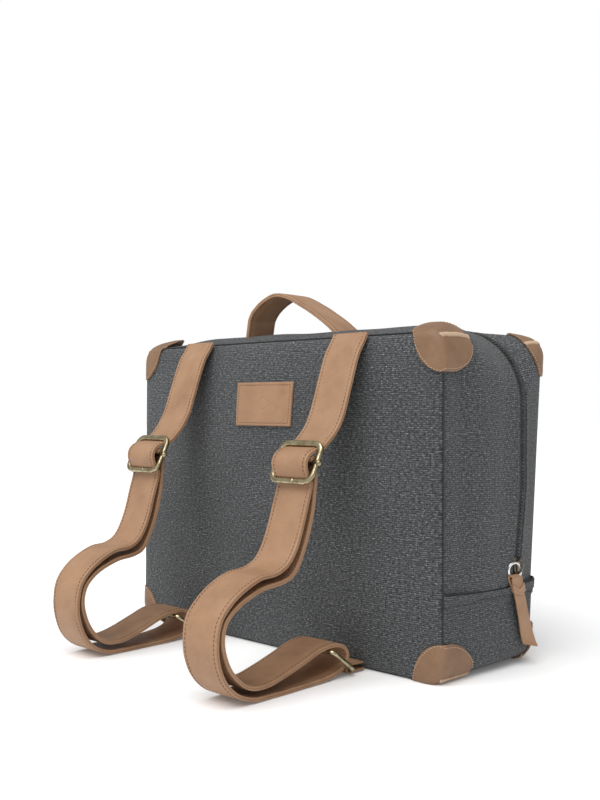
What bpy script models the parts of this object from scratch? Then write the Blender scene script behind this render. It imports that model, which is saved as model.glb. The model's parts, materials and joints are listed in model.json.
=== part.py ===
"""Suitcase-style canvas travel backpack with leather trim.

Frame: metres, +Z up. The origin is the middle of the flat underside. -Y faces the wearer (strap side),
+Y is the front cover, +X is the side where the zip slider parks.
"""

import math

import bmesh
import bpy
from mathutils import Vector

# ---- Driving dimensions -------------------------------------------------------------------------
HALF_W = 0.161            # half the panels' width
PANEL_TOP = 0.239         # height of the panels' top seam
BACK_Y = -0.0615          # back edge of the gussets
CORNER_R = 0.014          # corner radius of the panels
ZIP_CORNER_R = 0.050      # corner radius of the zip's run
CROWN = 0.0065            # how far the gusset swells out between its seams
WALL = 0.002              # canvas and foam of the gussets
PANEL_T = 0.003           # canvas and foam of the panels
PANEL_BULGE = 0.012       # outward dome of the back panel
FRONT_Y_LOW = 0.0455      # front cover's outer face at the floor
FRONT_Y_SLOPE = 0.088     # how much it leans out for each metre of height
GAP = 0.0004              # clearance between neighbouring pieces

HINGE_Z = 0.062           # height of the cover's fold
ZIP_Y = 0.0275            # the zip's middle line
ZIP_DRIFT = 0.009         # how far it wanders back towards its lower ends
ZIP_DRIFT_FROM = 0.127    # height where that starts
ZIP_LOW_Z = 0.0675        # lower end of the slider at rest
TAPE_HALF = 0.0050        # visible half width of the zip
TAPE_T = 0.0010
ZIP_SHARE_LOW, ZIP_SHARE_HIGH = 0.76, 0.88   # the zip's edges as shares of the way between the panels
ZIP_SHARE = 0.82
CHAIN_HALF = 0.0027       # half width of the closed teeth
CHAIN_RISE = 0.0012       # how far the teeth stand out of the tape

STRAP_X = 0.0826          # strap centres
STRAP_W = 0.032
STRAP_T = 0.0028
STRAP_CUT_Z = 0.224       # the strap's sewn top end turns into the free strap here
REACH_RIGHT = 1.0
REACH_LEFT = 0.88
REACH_FROM_Y = -0.110     # the reach factor scales what lies further out than this

BUCKLE_Y, BUCKLE_Z = -0.1225, 0.1495
BUCKLE_DIR = Vector((0.0, -0.447, -0.894))   # down along the frame
BUCKLE_HALF_H = 0.0140
BUCKLE_HALF_W = 0.0184
WIRE_R = 0.00165
PIN_R = 0.0015
BALL_R = 0.0021

RING_STRAP_BAR = (-0.1040, 0.0200)   # (y, z) of the bar inside the strap's loop
RING_TAB_BAR = (-0.0825, 0.0042)     # (y, z) of the bar inside the sewn tab
RING_HALF_W = 0.0182
RING_WIRE_R = 0.0016

PULL_RING_R, PULL_WIRE_R = 0.0058, 0.0008
PULL_LEAN = 0.16          # how far the tab leans forward for each metre it hangs
BRIDGE_HALF_W = 0.0013    # the slider's bridge
BRIDGE_LOW = 0.0048       # its lower end, below the slider's middle

HANDLE_Y = -0.033
HANDLE_W = 0.0295
HANDLE_T = 0.0030

PATCH_T = 0.0014
PATCH_HALF = 0.0250       # half the patch's length around the corner
PATCH_RIM = 0.0265        # radius of its rim on the panel
LOW_PATCH_TURN = math.radians(7)   # how far below 45 degrees a bottom patch follows its corner
PATCH_DEEP = 0.032        # how far a back patch reaches along the gusset

PATCH_SHALLOW, PATCH_LOW = 0.017, 0.009   # the same for the front's top and bottom patches
FRONT_SPAN_TOP, FRONT_SPAN_BOTTOM, BACK_SPAN = 0.283, 0.108, 0.1105   # depth of gusset for a whole share

LABEL_Z = 0.1894
LABEL_W, LABEL_H, LABEL_T = 0.0600, 0.0340, 0.0014

CANVAS = (0.105, 0.115, 0.130, 0.85, 0.0)
LEATHER = (0.48, 0.27, 0.15, 0.55, 0.0)
BRASS = (0.52, 0.45, 0.27, 0.30, 1.0)
NICKEL = (0.70, 0.69, 0.66, 0.25, 1.0)
BRONZE = (0.16, 0.13, 0.10, 0.40, 1.0)
TAPE = (0.030, 0.032, 0.036, 0.80, 0.0)
LINING = (0.20, 0.19, 0.17, 0.80, 0.0)
BOARD = (0.33, 0.28, 0.22, 0.90, 0.0)


# ---- Helpers ------------------------------------------------------------------------------------
def clear_scene():
    for old in list(bpy.data.objects):
        bpy.data.objects.remove(old, do_unlink=True)


def collection(name):
    made = bpy.data.collections.new(name)
    bpy.context.scene.collection.children.link(made)
    return made


def material(name, look):
    red, green, blue, roughness, metallic = look
    made = bpy.data.materials.new(name)
    made.use_nodes = True
    shader = made.node_tree.nodes["Principled BSDF"]
    shader.inputs["Base Color"].default_value = (red, green, blue, 1.0)
    shader.inputs["Roughness"].default_value = roughness
    shader.inputs["Metallic"].default_value = metallic
    made.diffuse_color = (red, green, blue, 1.0)
    return made


def add(name, data, look, pivot=None):
    """Links one piece, with its origin on pivot where it moves."""
    piece = bpy.data.objects.new(name, data)
    if pivot is not None:
        offset = Vector(pivot)
        if isinstance(data, bpy.types.Mesh):
            for vertex in data.vertices:
                vertex.co -= offset
        piece.location = offset
    data.materials.append(material(name, look))
    PARTS.objects.link(piece)
    return piece


def mesh_of(name, bm, smooth=True):
    bmesh.ops.recalc_face_normals(bm, faces=bm.faces)
    data = bpy.data.meshes.new(name)
    bm.to_mesh(data)
    bm.free()
    if smooth:
        data.shade_smooth()
        data.set_sharp_from_angle(angle=math.radians(40))
    return data


def sheet_mesh(name, outer, inner, wrap=False):
    """A closed sheet between two grids of points; wrap joins the last column to the first."""
    bm = bmesh.new()
    top = [[bm.verts.new(p) for p in row] for row in outer]
    low = [[bm.verts.new(p) for p in row] for row in inner]
    rows, cols = len(top), len(top[0])
    spans = cols if wrap else cols - 1
    for j in range(rows - 1):
        for i in range(spans):
            k = (i + 1) % cols
            bm.faces.new((top[j][i], top[j][k], top[j + 1][k], top[j + 1][i]))
            bm.faces.new((low[j][i], low[j + 1][i], low[j + 1][k], low[j][k]))
    for j in (0, rows - 1):
        for i in range(spans):
            k = (i + 1) % cols
            bm.faces.new((top[j][i], low[j][i], low[j][k], top[j][k]))
    if not wrap:
        for i in (0, cols - 1):
            for j in range(rows - 1):
                bm.faces.new((top[j][i], top[j + 1][i], low[j + 1][i], low[j][i]))
    return mesh_of(name, bm)


def plate_mesh(name, outline, face, depth):
    """A flat plate: outline is (x, z) points, face gives y of its near side, depth is its thickness in y."""
    bm = bmesh.new()
    near = [bm.verts.new((x, face(z), z)) for x, z in outline]
    far = [bm.verts.new((x, face(z) + depth, z)) for x, z in outline]
    bm.faces.new(near)
    bm.faces.new(list(reversed(far)))
    for i, start in enumerate(near):
        k = (i + 1) % len(near)
        bm.faces.new((start, near[k], far[k], far[i]))
    return mesh_of(name, bm, smooth=False)


def smooth_route(points, steps):
    """A Catmull-Rom curve through the points, with some steps in each span."""
    ends = [points[0] * 2 - points[1]] + list(points) + [points[-1] * 2 - points[-2]]
    route = []
    for a, b, c, d in zip(ends, ends[1:], ends[2:], ends[3:]):
        for i in range(steps):
            t = i / steps
            route.append(0.5 * ((2 * b) + (c - a) * t + (2 * a - 5 * b + 4 * c - d) * t * t
                                + (3 * b - a - 3 * c + d) * t ** 3))
    route.append(Vector(points[-1]))
    return route


def ribbon_mesh(name, centre_x, route, width, thickness, flat_start=False, flat_end=False):
    """A flat strap along a route in the YZ plane; a flat start or end is cut level with the floor."""
    bm = bmesh.new()
    rings = []
    last = len(route) - 1
    for i, point in enumerate(route):
        along = (route[min(i + 1, last)] - route[max(i - 1, 0)]).normalized()
        across = Vector((0.0, along.z, -along.y))
        if (i == 0 and flat_start) or (i == last and flat_end):
            level = Vector((0.0, 1.0 if across.y > 0 else -1.0, 0.0))
            across = level / level.dot(across)
        rings.append([bm.verts.new((centre_x + side * width / 2, point.y + across.y * lift * thickness / 2,
                                    point.z + across.z * lift * thickness / 2))
                      for side, lift in ((-1, -1), (1, -1), (1, 1), (-1, 1))])
    for ring, after in zip(rings, rings[1:]):
        for i in range(4):
            k = (i + 1) % 4
            bm.faces.new((ring[i], ring[k], after[k], after[i]))
    bm.faces.new(rings[0])
    bm.faces.new(list(reversed(rings[-1])))
    return mesh_of(name, bm)


def wire_loop(name, corners, radius, bend, look, pivot=None):
    """A closed wire through four corners, with round bends, turned into a mesh."""
    points = []
    for i, corner in enumerate(corners):
        before = (corners[i - 1] - corner).normalized() * bend
        after = (corners[(i + 1) % 4] - corner).normalized() * bend
        for step in range(5):
            t = step / 4
            points.append(corner + before * (1 - t) ** 2 + after * t ** 2)
    curve = bpy.data.curves.new(name, "CURVE")
    curve.dimensions = "3D"
    curve.bevel_depth = radius
    curve.bevel_resolution = 2
    spline = curve.splines.new("POLY")
    spline.points.add(len(points) - 1)
    for slot, point in zip(spline.points, points):
        slot.co = (*point, 1.0)
    spline.use_cyclic_u = True
    guide = bpy.data.objects.new(name + "_guide", curve)
    PARTS.objects.link(guide)
    depsgraph = bpy.context.evaluated_depsgraph_get()
    data = bpy.data.meshes.new_from_object(guide.evaluated_get(depsgraph))
    bpy.data.objects.remove(guide, do_unlink=True)
    data.name = name
    data.materials.clear()
    data.shade_smooth()
    return add(name, data, look, pivot)


def rod(bm, middle, radius, length, segments=12):
    """A closed cylinder along X."""
    made = bmesh.ops.create_cone(bm, cap_ends=True, segments=segments, radius1=radius, radius2=radius,
                                 depth=length)
    for vertex in made["verts"]:
        x, y, z = vertex.co
        vertex.co = Vector(middle) + Vector((z, y, -x))


def boolean(piece, cutter, operation):
    cutter.hide_render = True
    cutter.display_type = "WIRE"
    step = piece.modifiers.new(operation.lower(), "BOOLEAN")
    step.operation = operation
    step.object = cutter


# ---- The bag's outer surface --------------------------------------------------------------------
def front_y(z):
    return FRONT_Y_LOW + FRONT_Y_SLOPE * z


def zip_y(z):
    drift = min(1.0, max(0.0, (ZIP_DRIFT_FROM - z) / (ZIP_DRIFT_FROM - ZIP_LOW_Z)))
    return ZIP_Y - ZIP_DRIFT * drift


def walk(radius, grow, distance):
    """A point of the bag's outline, by the distance from the middle of the top right corner: positive runs
    towards the middle of the top, negative down the side."""
    bend = radius + grow
    quarter = bend * math.pi / 4
    centre_x = HALF_W - radius
    centre_z = PANEL_TOP - radius
    if distance > quarter:
        return centre_x - (distance - quarter), centre_z + bend
    if distance < -quarter:
        return centre_x + bend, centre_z + quarter + distance
    angle = math.pi / 4 + distance / bend
    return centre_x + bend * math.cos(angle), centre_z + bend * math.sin(angle)


def half_arch(radius, grow, low_z):
    """(x, z) from the lower right end to the middle of the top."""
    quarter = (radius + grow) * math.pi / 4
    arc_z = PANEL_TOP - radius
    top = HALF_W - radius
    heights = [low_z] + [z for z in (ZIP_LOW_Z, ZIP_DRIFT_FROM) if z > low_z]
    heights.append((heights[-1] + arc_z) / 2)
    steps = [z - arc_z - quarter for z in heights]
    steps += [-quarter + 2 * quarter * i / 6 for i in range(7)]
    steps += [quarter + top * (i + 1) / 4 for i in range(4)]
    return [walk(radius, grow, step) for step in steps]


def arch(radius, grow, low_z):
    right = half_arch(radius, grow, low_z)
    return right + [(-x, z) for x, z in reversed(right[:-1])]


def half_cup(radius, swell, inset, high_z):
    """(x, z) from the upper right end of the bottom band to the middle of the underside, which stays flat."""
    points = [(HALF_W + swell - inset, high_z + (radius - high_z) * i / 3) for i in range(4)]
    for i in range(1, 7):
        angle = math.pi / 2 * i / 6
        reach = radius + swell * math.cos(angle) - inset
        points.append((HALF_W - radius + reach * math.cos(angle), radius - (radius - inset) * math.sin(angle)))
    return points + [((HALF_W - radius) * (1 - i / 3), inset) for i in range(1, 4)]


def cup(radius, swell, inset, high_z):
    right = half_cup(radius, swell, inset, high_z)
    return right + [(-x, z) for x, z in reversed(right[:-1])]


def crown(t):
    """The gusset's swelling at share t of the way from the back panel to the front panel."""
    return CROWN * min(1.0, t / 0.16, (1 - t) / 0.12) ** 0.8 if 0 < t < 1 else 0.0


def corner_radius(t):
    """The gusset's corner is tight at the panels and wide at the zip."""
    share = t / ZIP_SHARE_LOW if t < ZIP_SHARE_LOW else (1 - t) / (1 - ZIP_SHARE_HIGH)
    return CORNER_R + (ZIP_CORNER_R - CORNER_R) * min(1.0, max(0.0, share)) ** 1.3


def place(points, y_of):
    return [Vector((x, y_of(z), z)) for x, z in points]


def arch_band(name, look, share_low, share_high, y_from, y_to, low_z, rows, depth=WALL, inset=0.0):
    """A band over the sides and top. The shares give its place between the panels for crown and corners."""
    outer, inner = [], []
    for j in range(rows + 1):
        t = j / rows
        share = share_low + (share_high - share_low) * t

        def y_at(z, t=t):
            return y_from(z) + (y_to(z) - y_from(z)) * t

        radius = corner_radius(share)
        outer.append(place(arch(radius, crown(share) - inset, low_z), y_at))
        inner.append(place(arch(radius, crown(share) - inset - depth, low_z), y_at))
    return add(name, sheet_mesh(name, outer, inner), look)


def cup_band(name, look, y_from, y_to, high_z, rows, depth=WALL, inset=0.0):
    outer, inner = [], []
    for j in range(rows + 1):
        t = j / rows

        def y_at(z, t=t):
            return y_from(z) + (y_to(z) - y_from(z)) * t

        outer.append(place(cup(CORNER_R, crown(t), inset, high_z), y_at))
        inner.append(place(cup(CORNER_R, crown(t), inset + depth, high_z), y_at))
    return add(name, sheet_mesh(name, outer, inner), look)


def back_edge(_z):
    return BACK_Y


def panel_outline(inset, low_z=None, high_z=None):
    """A panel's rounded rectangle, or only its part above low_z or below high_z."""
    if low_z is not None:
        return arch(CORNER_R, -inset, low_z)
    if high_z is not None:
        return cup(CORNER_R, 0.0, inset, high_z)
    upper = arch(CORNER_R, -inset, PANEL_TOP / 2)
    return upper + list(reversed(cup(CORNER_R, 0.0, inset, PANEL_TOP / 2)[1:-1]))


def back_panel():
    """A shallow dome between its seams."""
    outline = panel_outline(GAP)
    middle = PANEL_TOP / 2
    outer, inner = [], []
    for j in range(6):
        size = 1 - j * 0.192
        row = [(x * size, middle + (z - middle) * size) for x, z in outline]
        for rows, y_face in ((outer, BACK_Y - GAP - PANEL_T), (inner, BACK_Y - GAP)):
            rows.append([Vector((x, y_face - panel_dome(x, z), z)) for x, z in row])
    return add("back_panel", capped_sheet("back_panel", outer, inner), CANVAS)


def panel_dome(x, z):
    across = max(0.0, 1 - (x / HALF_W) ** 2)
    up = max(0.0, 1 - ((z - PANEL_TOP / 2) / (PANEL_TOP / 2)) ** 2)
    return PANEL_BULGE * (across * up) ** 0.6


def capped_sheet(name, outer, inner):
    """Closed rings from an outline towards its middle, on two faces, joined at the outline."""
    bm = bmesh.new()
    top = [[bm.verts.new(p) for p in row] for row in outer]
    low = [[bm.verts.new(p) for p in row] for row in inner]
    count = len(top[0])
    for rings, flip in ((top, False), (low, True)):
        for ring, after in zip(rings, rings[1:]):
            for i in range(count):
                k = (i + 1) % count
                quad = (ring[i], ring[k], after[k], after[i])
                bm.faces.new(tuple(reversed(quad)) if flip else quad)
        bm.faces.new(list(reversed(rings[-1])) if flip else rings[-1])
    for i in range(count):
        k = (i + 1) % count
        bm.faces.new((top[0][i], low[0][i], low[0][k], top[0][k]))
    return mesh_of(name, bm)


def corner_patch(name, right, top, front):
    """A leather cap over one corner: over the gusset first, then round the seam onto the panel."""
    side = 1 if right else -1
    rows = []
    columns = 9
    deep = PATCH_DEEP
    if front:
        deep = PATCH_SHALLOW if top else PATCH_LOW
    room = GAP if top and not front else 3 * GAP
    for j in range(5):
        away = 1 - j / 4
        half = PATCH_HALF * math.sqrt(1 - 0.86 * away ** 2)
        row = []
        for i in range(columns):
            distance = half * (2 * i / (columns - 1) - 1)
            depth = deep * away
            if front:
                share = 1 - depth / (FRONT_SPAN_TOP if top else FRONT_SPAN_BOTTOM)
            else:
                share = depth / BACK_SPAN
            radius = corner_radius(share) if top else CORNER_R
            swell = crown(share)
            if top:
                x, z = walk(radius, swell + room, distance)
            else:
                x, z = walk_low(swell, room, distance)
            y = front_y(z) - depth if front else BACK_Y + depth
            row.append(Vector((side * x, y, z)))
        rows.append(row)
    seam = PANEL_T + 2 * GAP
    for j in range(4):
        inward = j / 3
        row = []
        for i in range(columns):
            distance = PATCH_HALF * (2 * i / (columns - 1) - 1)
            if top:
                x, z = walk(CORNER_R, GAP * (1 - inward), distance)
            else:
                x, z = walk_low(0.0, GAP * (1 - inward), distance)
            turn = math.radians(4 + 82 * i / (columns - 1))
            rim_x = HALF_W - PATCH_RIM * math.sin(turn)
            rim_z = PANEL_TOP - PATCH_RIM * math.cos(turn) if top else PATCH_RIM * math.cos(turn)
            rim_x, rim_z = min(rim_x, x), (min(rim_z, z) if top else max(rim_z, z, 0.0008))
            x, z = x + (rim_x - x) * inward, z + (rim_z - z) * inward
            if front:
                y = front_y(z) + seam
            else:
                y = BACK_Y - seam - panel_dome(x, z) * (0 if j == 0 else 1)
            row.append(Vector((side * x, y, z)))
        rows.append(row)
    bm = bmesh.new()
    grid = [[bm.verts.new(p) for p in row] for row in rows]
    for low, high in zip(grid, grid[1:]):
        for i in range(columns - 1):
            bm.faces.new((low[i], low[i + 1], high[i + 1], high[i]))
    bm.normal_update()
    middle = Vector((0.0, 0.0, PANEL_TOP / 2))
    if sum(face.normal.dot(face.calc_center_median() - middle) for face in bm.faces) < 0:
        bmesh.ops.reverse_faces(bm, faces=bm.faces)
    data = bpy.data.meshes.new(name)
    bm.to_mesh(data)
    bm.free()
    data.shade_smooth()
    piece = add(name, data, LEATHER)
    shell = piece.modifiers.new("leather", "SOLIDIFY")
    shell.thickness = PATCH_T
    shell.offset = 1.0
    return piece


def walk_low(swell, room, distance):
    """The same for a bottom corner, whose underside is flat: a patch stops before it, so that the bag rests
    on its own base."""
    distance = min(distance, CORNER_R * LOW_PATCH_TURN)
    quarter = CORNER_R * math.pi / 4
    if distance < -quarter:
        return HALF_W + swell + room, CORNER_R - quarter - distance
    angle = math.pi / 4 + distance / CORNER_R
    reach = CORNER_R + swell * math.cos(angle) + room
    return HALF_W - CORNER_R + reach * math.cos(angle), CORNER_R - (CORNER_R + room) * math.sin(angle)


# ---- Straps and their hardware ------------------------------------------------------------------
# The free strap's middle line as (y, z): from below the sewn end to the buckle, out to the turn, along the
# floor, round the ring's bar and back on the inside to the buckle's pin.
SEWN_TOP = [(-0.0667, 0.2392), (-0.0700, 0.2335), (-0.0735, 0.2285), (-0.0760, 0.2243)]
UPPER = [(-0.0760, 0.2237), (-0.0795, 0.2155), (-0.0828, 0.2060), (-0.0868, 0.1950), (-0.0920, 0.1815),
         (-0.0990, 0.1705)]
OUTER_LOOP = [(-0.1283, 0.1210), (-0.1355, 0.1000), (-0.1445, 0.0855), (-0.1560, 0.0795), (-0.1710, 0.0778),
              (-0.1865, 0.0715), (-0.1980, 0.0637), (-0.2050, 0.0545), (-0.2073, 0.0430), (-0.2062, 0.0310),
              (-0.2010, 0.0185), (-0.1910, 0.0085), (-0.1780, 0.0032), (-0.1640, 0.0019), (-0.1400, 0.0018),
              (-0.1150, 0.0022), (-0.0985, 0.0043), (-0.0895, 0.0080), (-0.0862, 0.0138), (-0.0888, 0.0198),
              (-0.0960, 0.0232), (-0.1040, 0.0240), (-0.1150, 0.0225), (-0.1290, 0.0182), (-0.1480, 0.0125),
              (-0.1650, 0.0092), (-0.1806, 0.0110), (-0.1930, 0.0205), (-0.2000, 0.0320), (-0.2026, 0.0440),
              (-0.1988, 0.0555), (-0.1860, 0.0650), (-0.1680, 0.0712), (-0.1500, 0.0735), (-0.1390, 0.0790),
              (-0.1290, 0.0970), (-0.1222, 0.1190)]
# Shares of the way along the buckle's frame, and heights off its plane in metres.
WEAVE_OUT = [(-1.0, -0.0053), (-0.45, 0.0005), (0.0, 0.0066), (0.45, 0.0028), (1.0, -0.0053)]
WEAVE_BACK = [(1.0, -0.0092), (0.55, -0.0070), (0.22, -0.0044), (-0.06, -0.0034), (-0.215, -0.0012),
              (-0.205, 0.0014), (-0.06, 0.0032)]


def reached(y, reach):
    return y if y > REACH_FROM_Y else REACH_FROM_Y + (y - REACH_FROM_Y) * reach


def buckle_middle(reach):
    return Vector((0.0, reached(BUCKLE_Y, reach), BUCKLE_Z))


def woven(points, reach):
    out = Vector((0.0, BUCKLE_DIR.z, -BUCKLE_DIR.y))
    return [buckle_middle(reach) + BUCKLE_DIR * (share * BUCKLE_HALF_H) + out * rise for share, rise in points]


def bare(points, reach):
    return [Vector((0.0, reached(y, reach), z)) for y, z in points]


def strap_route(reach):
    points = bare(UPPER, reach) + woven(WEAVE_OUT, reach) + bare(OUTER_LOOP, reach) + woven(WEAVE_BACK, reach)
    return smooth_route(points, 2)


def strap_set(side, x, reach):
    """One shoulder strap with its buckle, ring and tab."""
    ribbon = ribbon_mesh("strap_top_" + side, x, smooth_route(bare(SEWN_TOP, 1.0), 3), STRAP_W, STRAP_T,
                         flat_end=True)
    add("strap_top_" + side, ribbon, LEATHER)
    ribbon = ribbon_mesh("strap_" + side, x, strap_route(reach), STRAP_W, STRAP_T, flat_start=True)
    add("strap_" + side, ribbon, LEATHER, (x, SEWN_TOP[-1][0], STRAP_CUT_Z))
    buckle(side, x, reach)
    strap_ring(side, x)
    tab(side, x)


def buckle(side, x, reach):
    """A bent wire frame, with drilled bosses for the pin that the strap's end is sewn round."""
    middle = buckle_middle(reach) + Vector((x, 0.0, 0.0))
    across = Vector((BUCKLE_HALF_W, 0.0, 0.0))
    down = BUCKLE_DIR * BUCKLE_HALF_H
    corners = [middle + across + down, middle - across + down, middle - across - down, middle + across - down]
    frame = wire_loop("buckle_frame_" + side, corners, WIRE_R, 0.0048, BRASS, middle)
    bosses = bmesh.new()
    for end in (-1, 1):
        rod(bosses, (end * BUCKLE_HALF_W, 0.0, 0.0), 0.0029, 0.0030, 14)
    boss = bpy.data.objects.new("boss_guide_" + side, mesh_of("boss_guide_" + side, bosses, False))
    boss.location = middle
    GUIDES.objects.link(boss)
    drill_shape = bmesh.new()
    rod(drill_shape, (0.0, 0.0, 0.0), PIN_R + GAP * 0.75, 0.060, 14)
    drill = bpy.data.objects.new("drill_guide_" + side, mesh_of("drill_guide_" + side, drill_shape, False))
    drill.location = middle
    GUIDES.objects.link(drill)
    boolean(frame, boss, "UNION")
    boolean(frame, drill, "DIFFERENCE")
    pin = bmesh.new()
    right = []
    ball_x = BUCKLE_HALF_W + 0.0015 + GAP + BALL_R * 0.7
    neck = math.asin(PIN_R / BALL_R)
    for i in range(1, 6):
        angle = (math.pi - neck) * i / 5
        right.append((ball_x + BALL_R * math.cos(angle), BALL_R * math.sin(angle)))
    tip = ball_x + BALL_R
    rings = [[pin.verts.new((sign * px, r * math.cos(a), r * math.sin(a)))
              for a in (2 * math.pi * k / 12 for k in range(12))]
             for sign, px, r in [(1, *p) for p in right] + [(-1, *p) for p in reversed(right)]]
    for ring, after in zip(rings, rings[1:]):
        for i in range(12):
            k = (i + 1) % 12
            pin.faces.new((ring[i], ring[k], after[k], after[i]))
    for ring, end_x in ((rings[0], tip), (rings[-1], -tip)):
        point = pin.verts.new((end_x, 0.0, 0.0))
        for i in range(12):
            pin.faces.new((ring[i], ring[(i + 1) % 12], point))
    piece = add("buckle_pin_" + side, mesh_of("buckle_pin_" + side, pin), BRASS)
    piece.location = middle


def strap_ring(side, x):
    near, far = (Vector((x, *bar)) for bar in (RING_STRAP_BAR, RING_TAB_BAR))
    across = Vector((RING_HALF_W, 0.0, 0.0))
    wire_loop("strap_ring_" + side, [near - across, near + across, far + across, far - across], RING_WIRE_R,
              0.0030, BRASS, near)


def tab(side, x):
    """The leather tab sewn into the lower seam, open round the ring's bar."""
    bar = Vector((0.0, *RING_TAB_BAR))
    reach = RING_WIRE_R + 0.0003 + 0.0007
    route = [Vector((0.0, -0.0695, 0.0062)), Vector((0.0, -0.0730, 0.0064))]
    for i in range(9):
        angle = math.radians(75 + 210 * i / 8)
        route.append(bar + Vector((0.0, reach * math.cos(angle), reach * math.sin(angle))))
    route += [Vector((0.0, -0.0740, 0.0017)), Vector((0.0, -0.0683, 0.0017))]
    ribbon = ribbon_mesh("ring_tab_" + side, x, smooth_route(route, 1), 0.0285, 0.0012)
    add("ring_tab_" + side, ribbon, LEATHER)


# ---- Handle, label, zip, inside -----------------------------------------------------------------
# The handle's middle line as (x, z): it stands steep at one end and slopes at the other. The bow turns at
# HANDLE_PIVOT_Z, high enough for its edges to clear the bag; the sewn feet below it flex.
FOOT_LEFT = [(-0.0620, 0.2484), (-0.0530, 0.2485), (-0.0462, 0.2505), (-0.0440, 0.2574)]
BOW = [(-0.0436, 0.2582), (-0.0385, 0.2660), (-0.0285, 0.2728), (-0.0150, 0.2772), (-0.0010, 0.2748),
       (0.0150, 0.2672), (0.0310, 0.2587)]
FOOT_RIGHT = [(0.0324, 0.2581), (0.0450, 0.2515), (0.0540, 0.2488), (0.0640, 0.2484)]
HANDLE_PIVOT_Z = 0.258


def handle_strip(name, line, pivot=None):
    route = smooth_route([Vector((0.0, x, z)) for x, z in line], 3)
    data = ribbon_mesh(name, 0.0, route, HANDLE_W, HANDLE_T)
    for vertex in data.vertices:
        across, along, height = vertex.co
        vertex.co = (along, HANDLE_Y + across, height)
    data.flip_normals()
    add(name, data, LEATHER, pivot)


def label():
    half_w, half_h = LABEL_W / 2, LABEL_H / 2
    outer, inner = [], []
    for j in range(5):
        z = LABEL_Z - half_h + LABEL_H * j / 4
        row = [(-half_w + LABEL_W * i / 6) for i in range(7)]
        base = [BACK_Y - GAP - PANEL_T - panel_dome(x, z) - 0.0008 for x in row]
        inner.append([Vector((x, y, z)) for x, y in zip(row, base)])
        outer.append([Vector((x, y - LABEL_T, z)) for x, y in zip(row, base)])
    add("label", sheet_mesh("label", outer, inner), LEATHER)


def zip_half(name, side, low_z, share):
    """One tape of the zip with its row of teeth, over the sides and top: side -1 sits behind the middle."""
    profile = [(TAPE_HALF - GAP, 0.0), (CHAIN_HALF, 0.0), (CHAIN_HALF - 0.0005, CHAIN_RISE),
               (0.0006, CHAIN_RISE), (0.0002, CHAIN_RISE - 0.0005), (0.0002, -CHAIN_RISE - TAPE_T + 0.0005),
               (0.0006, -CHAIN_RISE - TAPE_T), (CHAIN_HALF - 0.0005, -CHAIN_RISE - TAPE_T),
               (CHAIN_HALF, -TAPE_T), (TAPE_HALF - GAP, -TAPE_T)]
    rows = []
    for away, rise in profile:
        grow = crown(share) - 0.0006 + rise
        rows.append(place(arch(corner_radius(share), grow, low_z),
                          lambda z, away=away: zip_y(z) + side * away))
    bm = bmesh.new()
    grid = [[bm.verts.new(p) for p in row] for row in rows]
    count = len(grid)
    for j in range(count):
        low, high = grid[j], grid[(j + 1) % count]
        for i in range(len(low) - 1):
            bm.faces.new((low[i], low[i + 1], high[i + 1], high[i]))
    for column in (0, -1):
        bm.faces.new([row[column] for row in grid])
    return add(name, mesh_of(name, bm), TAPE)


def chain_face():
    """x of the teeth's outer face on the right side."""
    return HALF_W + crown(ZIP_SHARE) - 0.0006 + CHAIN_RISE


def zip_slider():
    """The slider's outer plate with its bridge; it runs on the teeth along the straight stretch."""
    face = chain_face() + GAP
    base = Vector((face, zip_y(ZIP_LOW_Z + 0.0055), ZIP_LOW_Z + 0.0055))
    outline = [(-0.0030, -0.0055), (0.0030, -0.0055), (0.0044, 0.0), (0.0042, 0.0050), (0.0024, 0.0058),
               (-0.0024, 0.0058), (-0.0042, 0.0050), (-0.0044, 0.0)]
    bm = bmesh.new()
    lean = slide_axis()
    side = Vector((0.0, lean.z, -lean.y))
    near = [bm.verts.new(side * a + lean * b) for a, b in outline]
    far = [bm.verts.new(side * a + lean * b + Vector((0.0014, 0.0, 0.0))) for a, b in outline]
    bm.faces.new(near)
    bm.faces.new(list(reversed(far)))
    for i, start in enumerate(near):
        k = (i + 1) % len(near)
        bm.faces.new((start, near[k], far[k], far[i]))
    add("zip_slider", mesh_of("zip_slider", bm, False), BRONZE, None).location = base
    bridge = bmesh.new()
    rise = [(0.0, 0.0017), (0.0, 0.0030), (0.0013, 0.0046), (0.0077, 0.0046), (0.0090, 0.0030), (0.0090, 0.0017)]
    under = [(0.0012, 0.0017), (0.0012, 0.0027), (0.0020, 0.0034), (0.0070, 0.0034), (0.0078, 0.0027),
             (0.0078, 0.0017)]
    rows = []
    for along, out in rise + list(reversed(under)):
        middle = lean * (along - BRIDGE_LOW) + Vector((out, 0.0, 0.0))
        rows.append([middle + side * w for w in (-BRIDGE_HALF_W, BRIDGE_HALF_W)])
    grid = [[bridge.verts.new(p) for p in row] for row in rows]
    for i, row in enumerate(grid):
        after = grid[(i + 1) % len(grid)]
        bridge.faces.new((row[0], after[0], after[1], row[1]))
    for end in (0, 1):
        count = len(rise)
        for i in range(count - 1):
            bridge.faces.new((grid[i][end], grid[i + 1][end], grid[-2 - i][end], grid[-1 - i][end]))
    add("slider_bridge", mesh_of("slider_bridge", bridge, False), BRONZE, None).location = base
    return base


def slide_axis():
    low = Vector((0.0, zip_y(ZIP_LOW_Z), ZIP_LOW_Z))
    high = Vector((0.0, zip_y(ZIP_DRIFT_FROM), ZIP_DRIFT_FROM))
    return (high - low).normalized()


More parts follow.
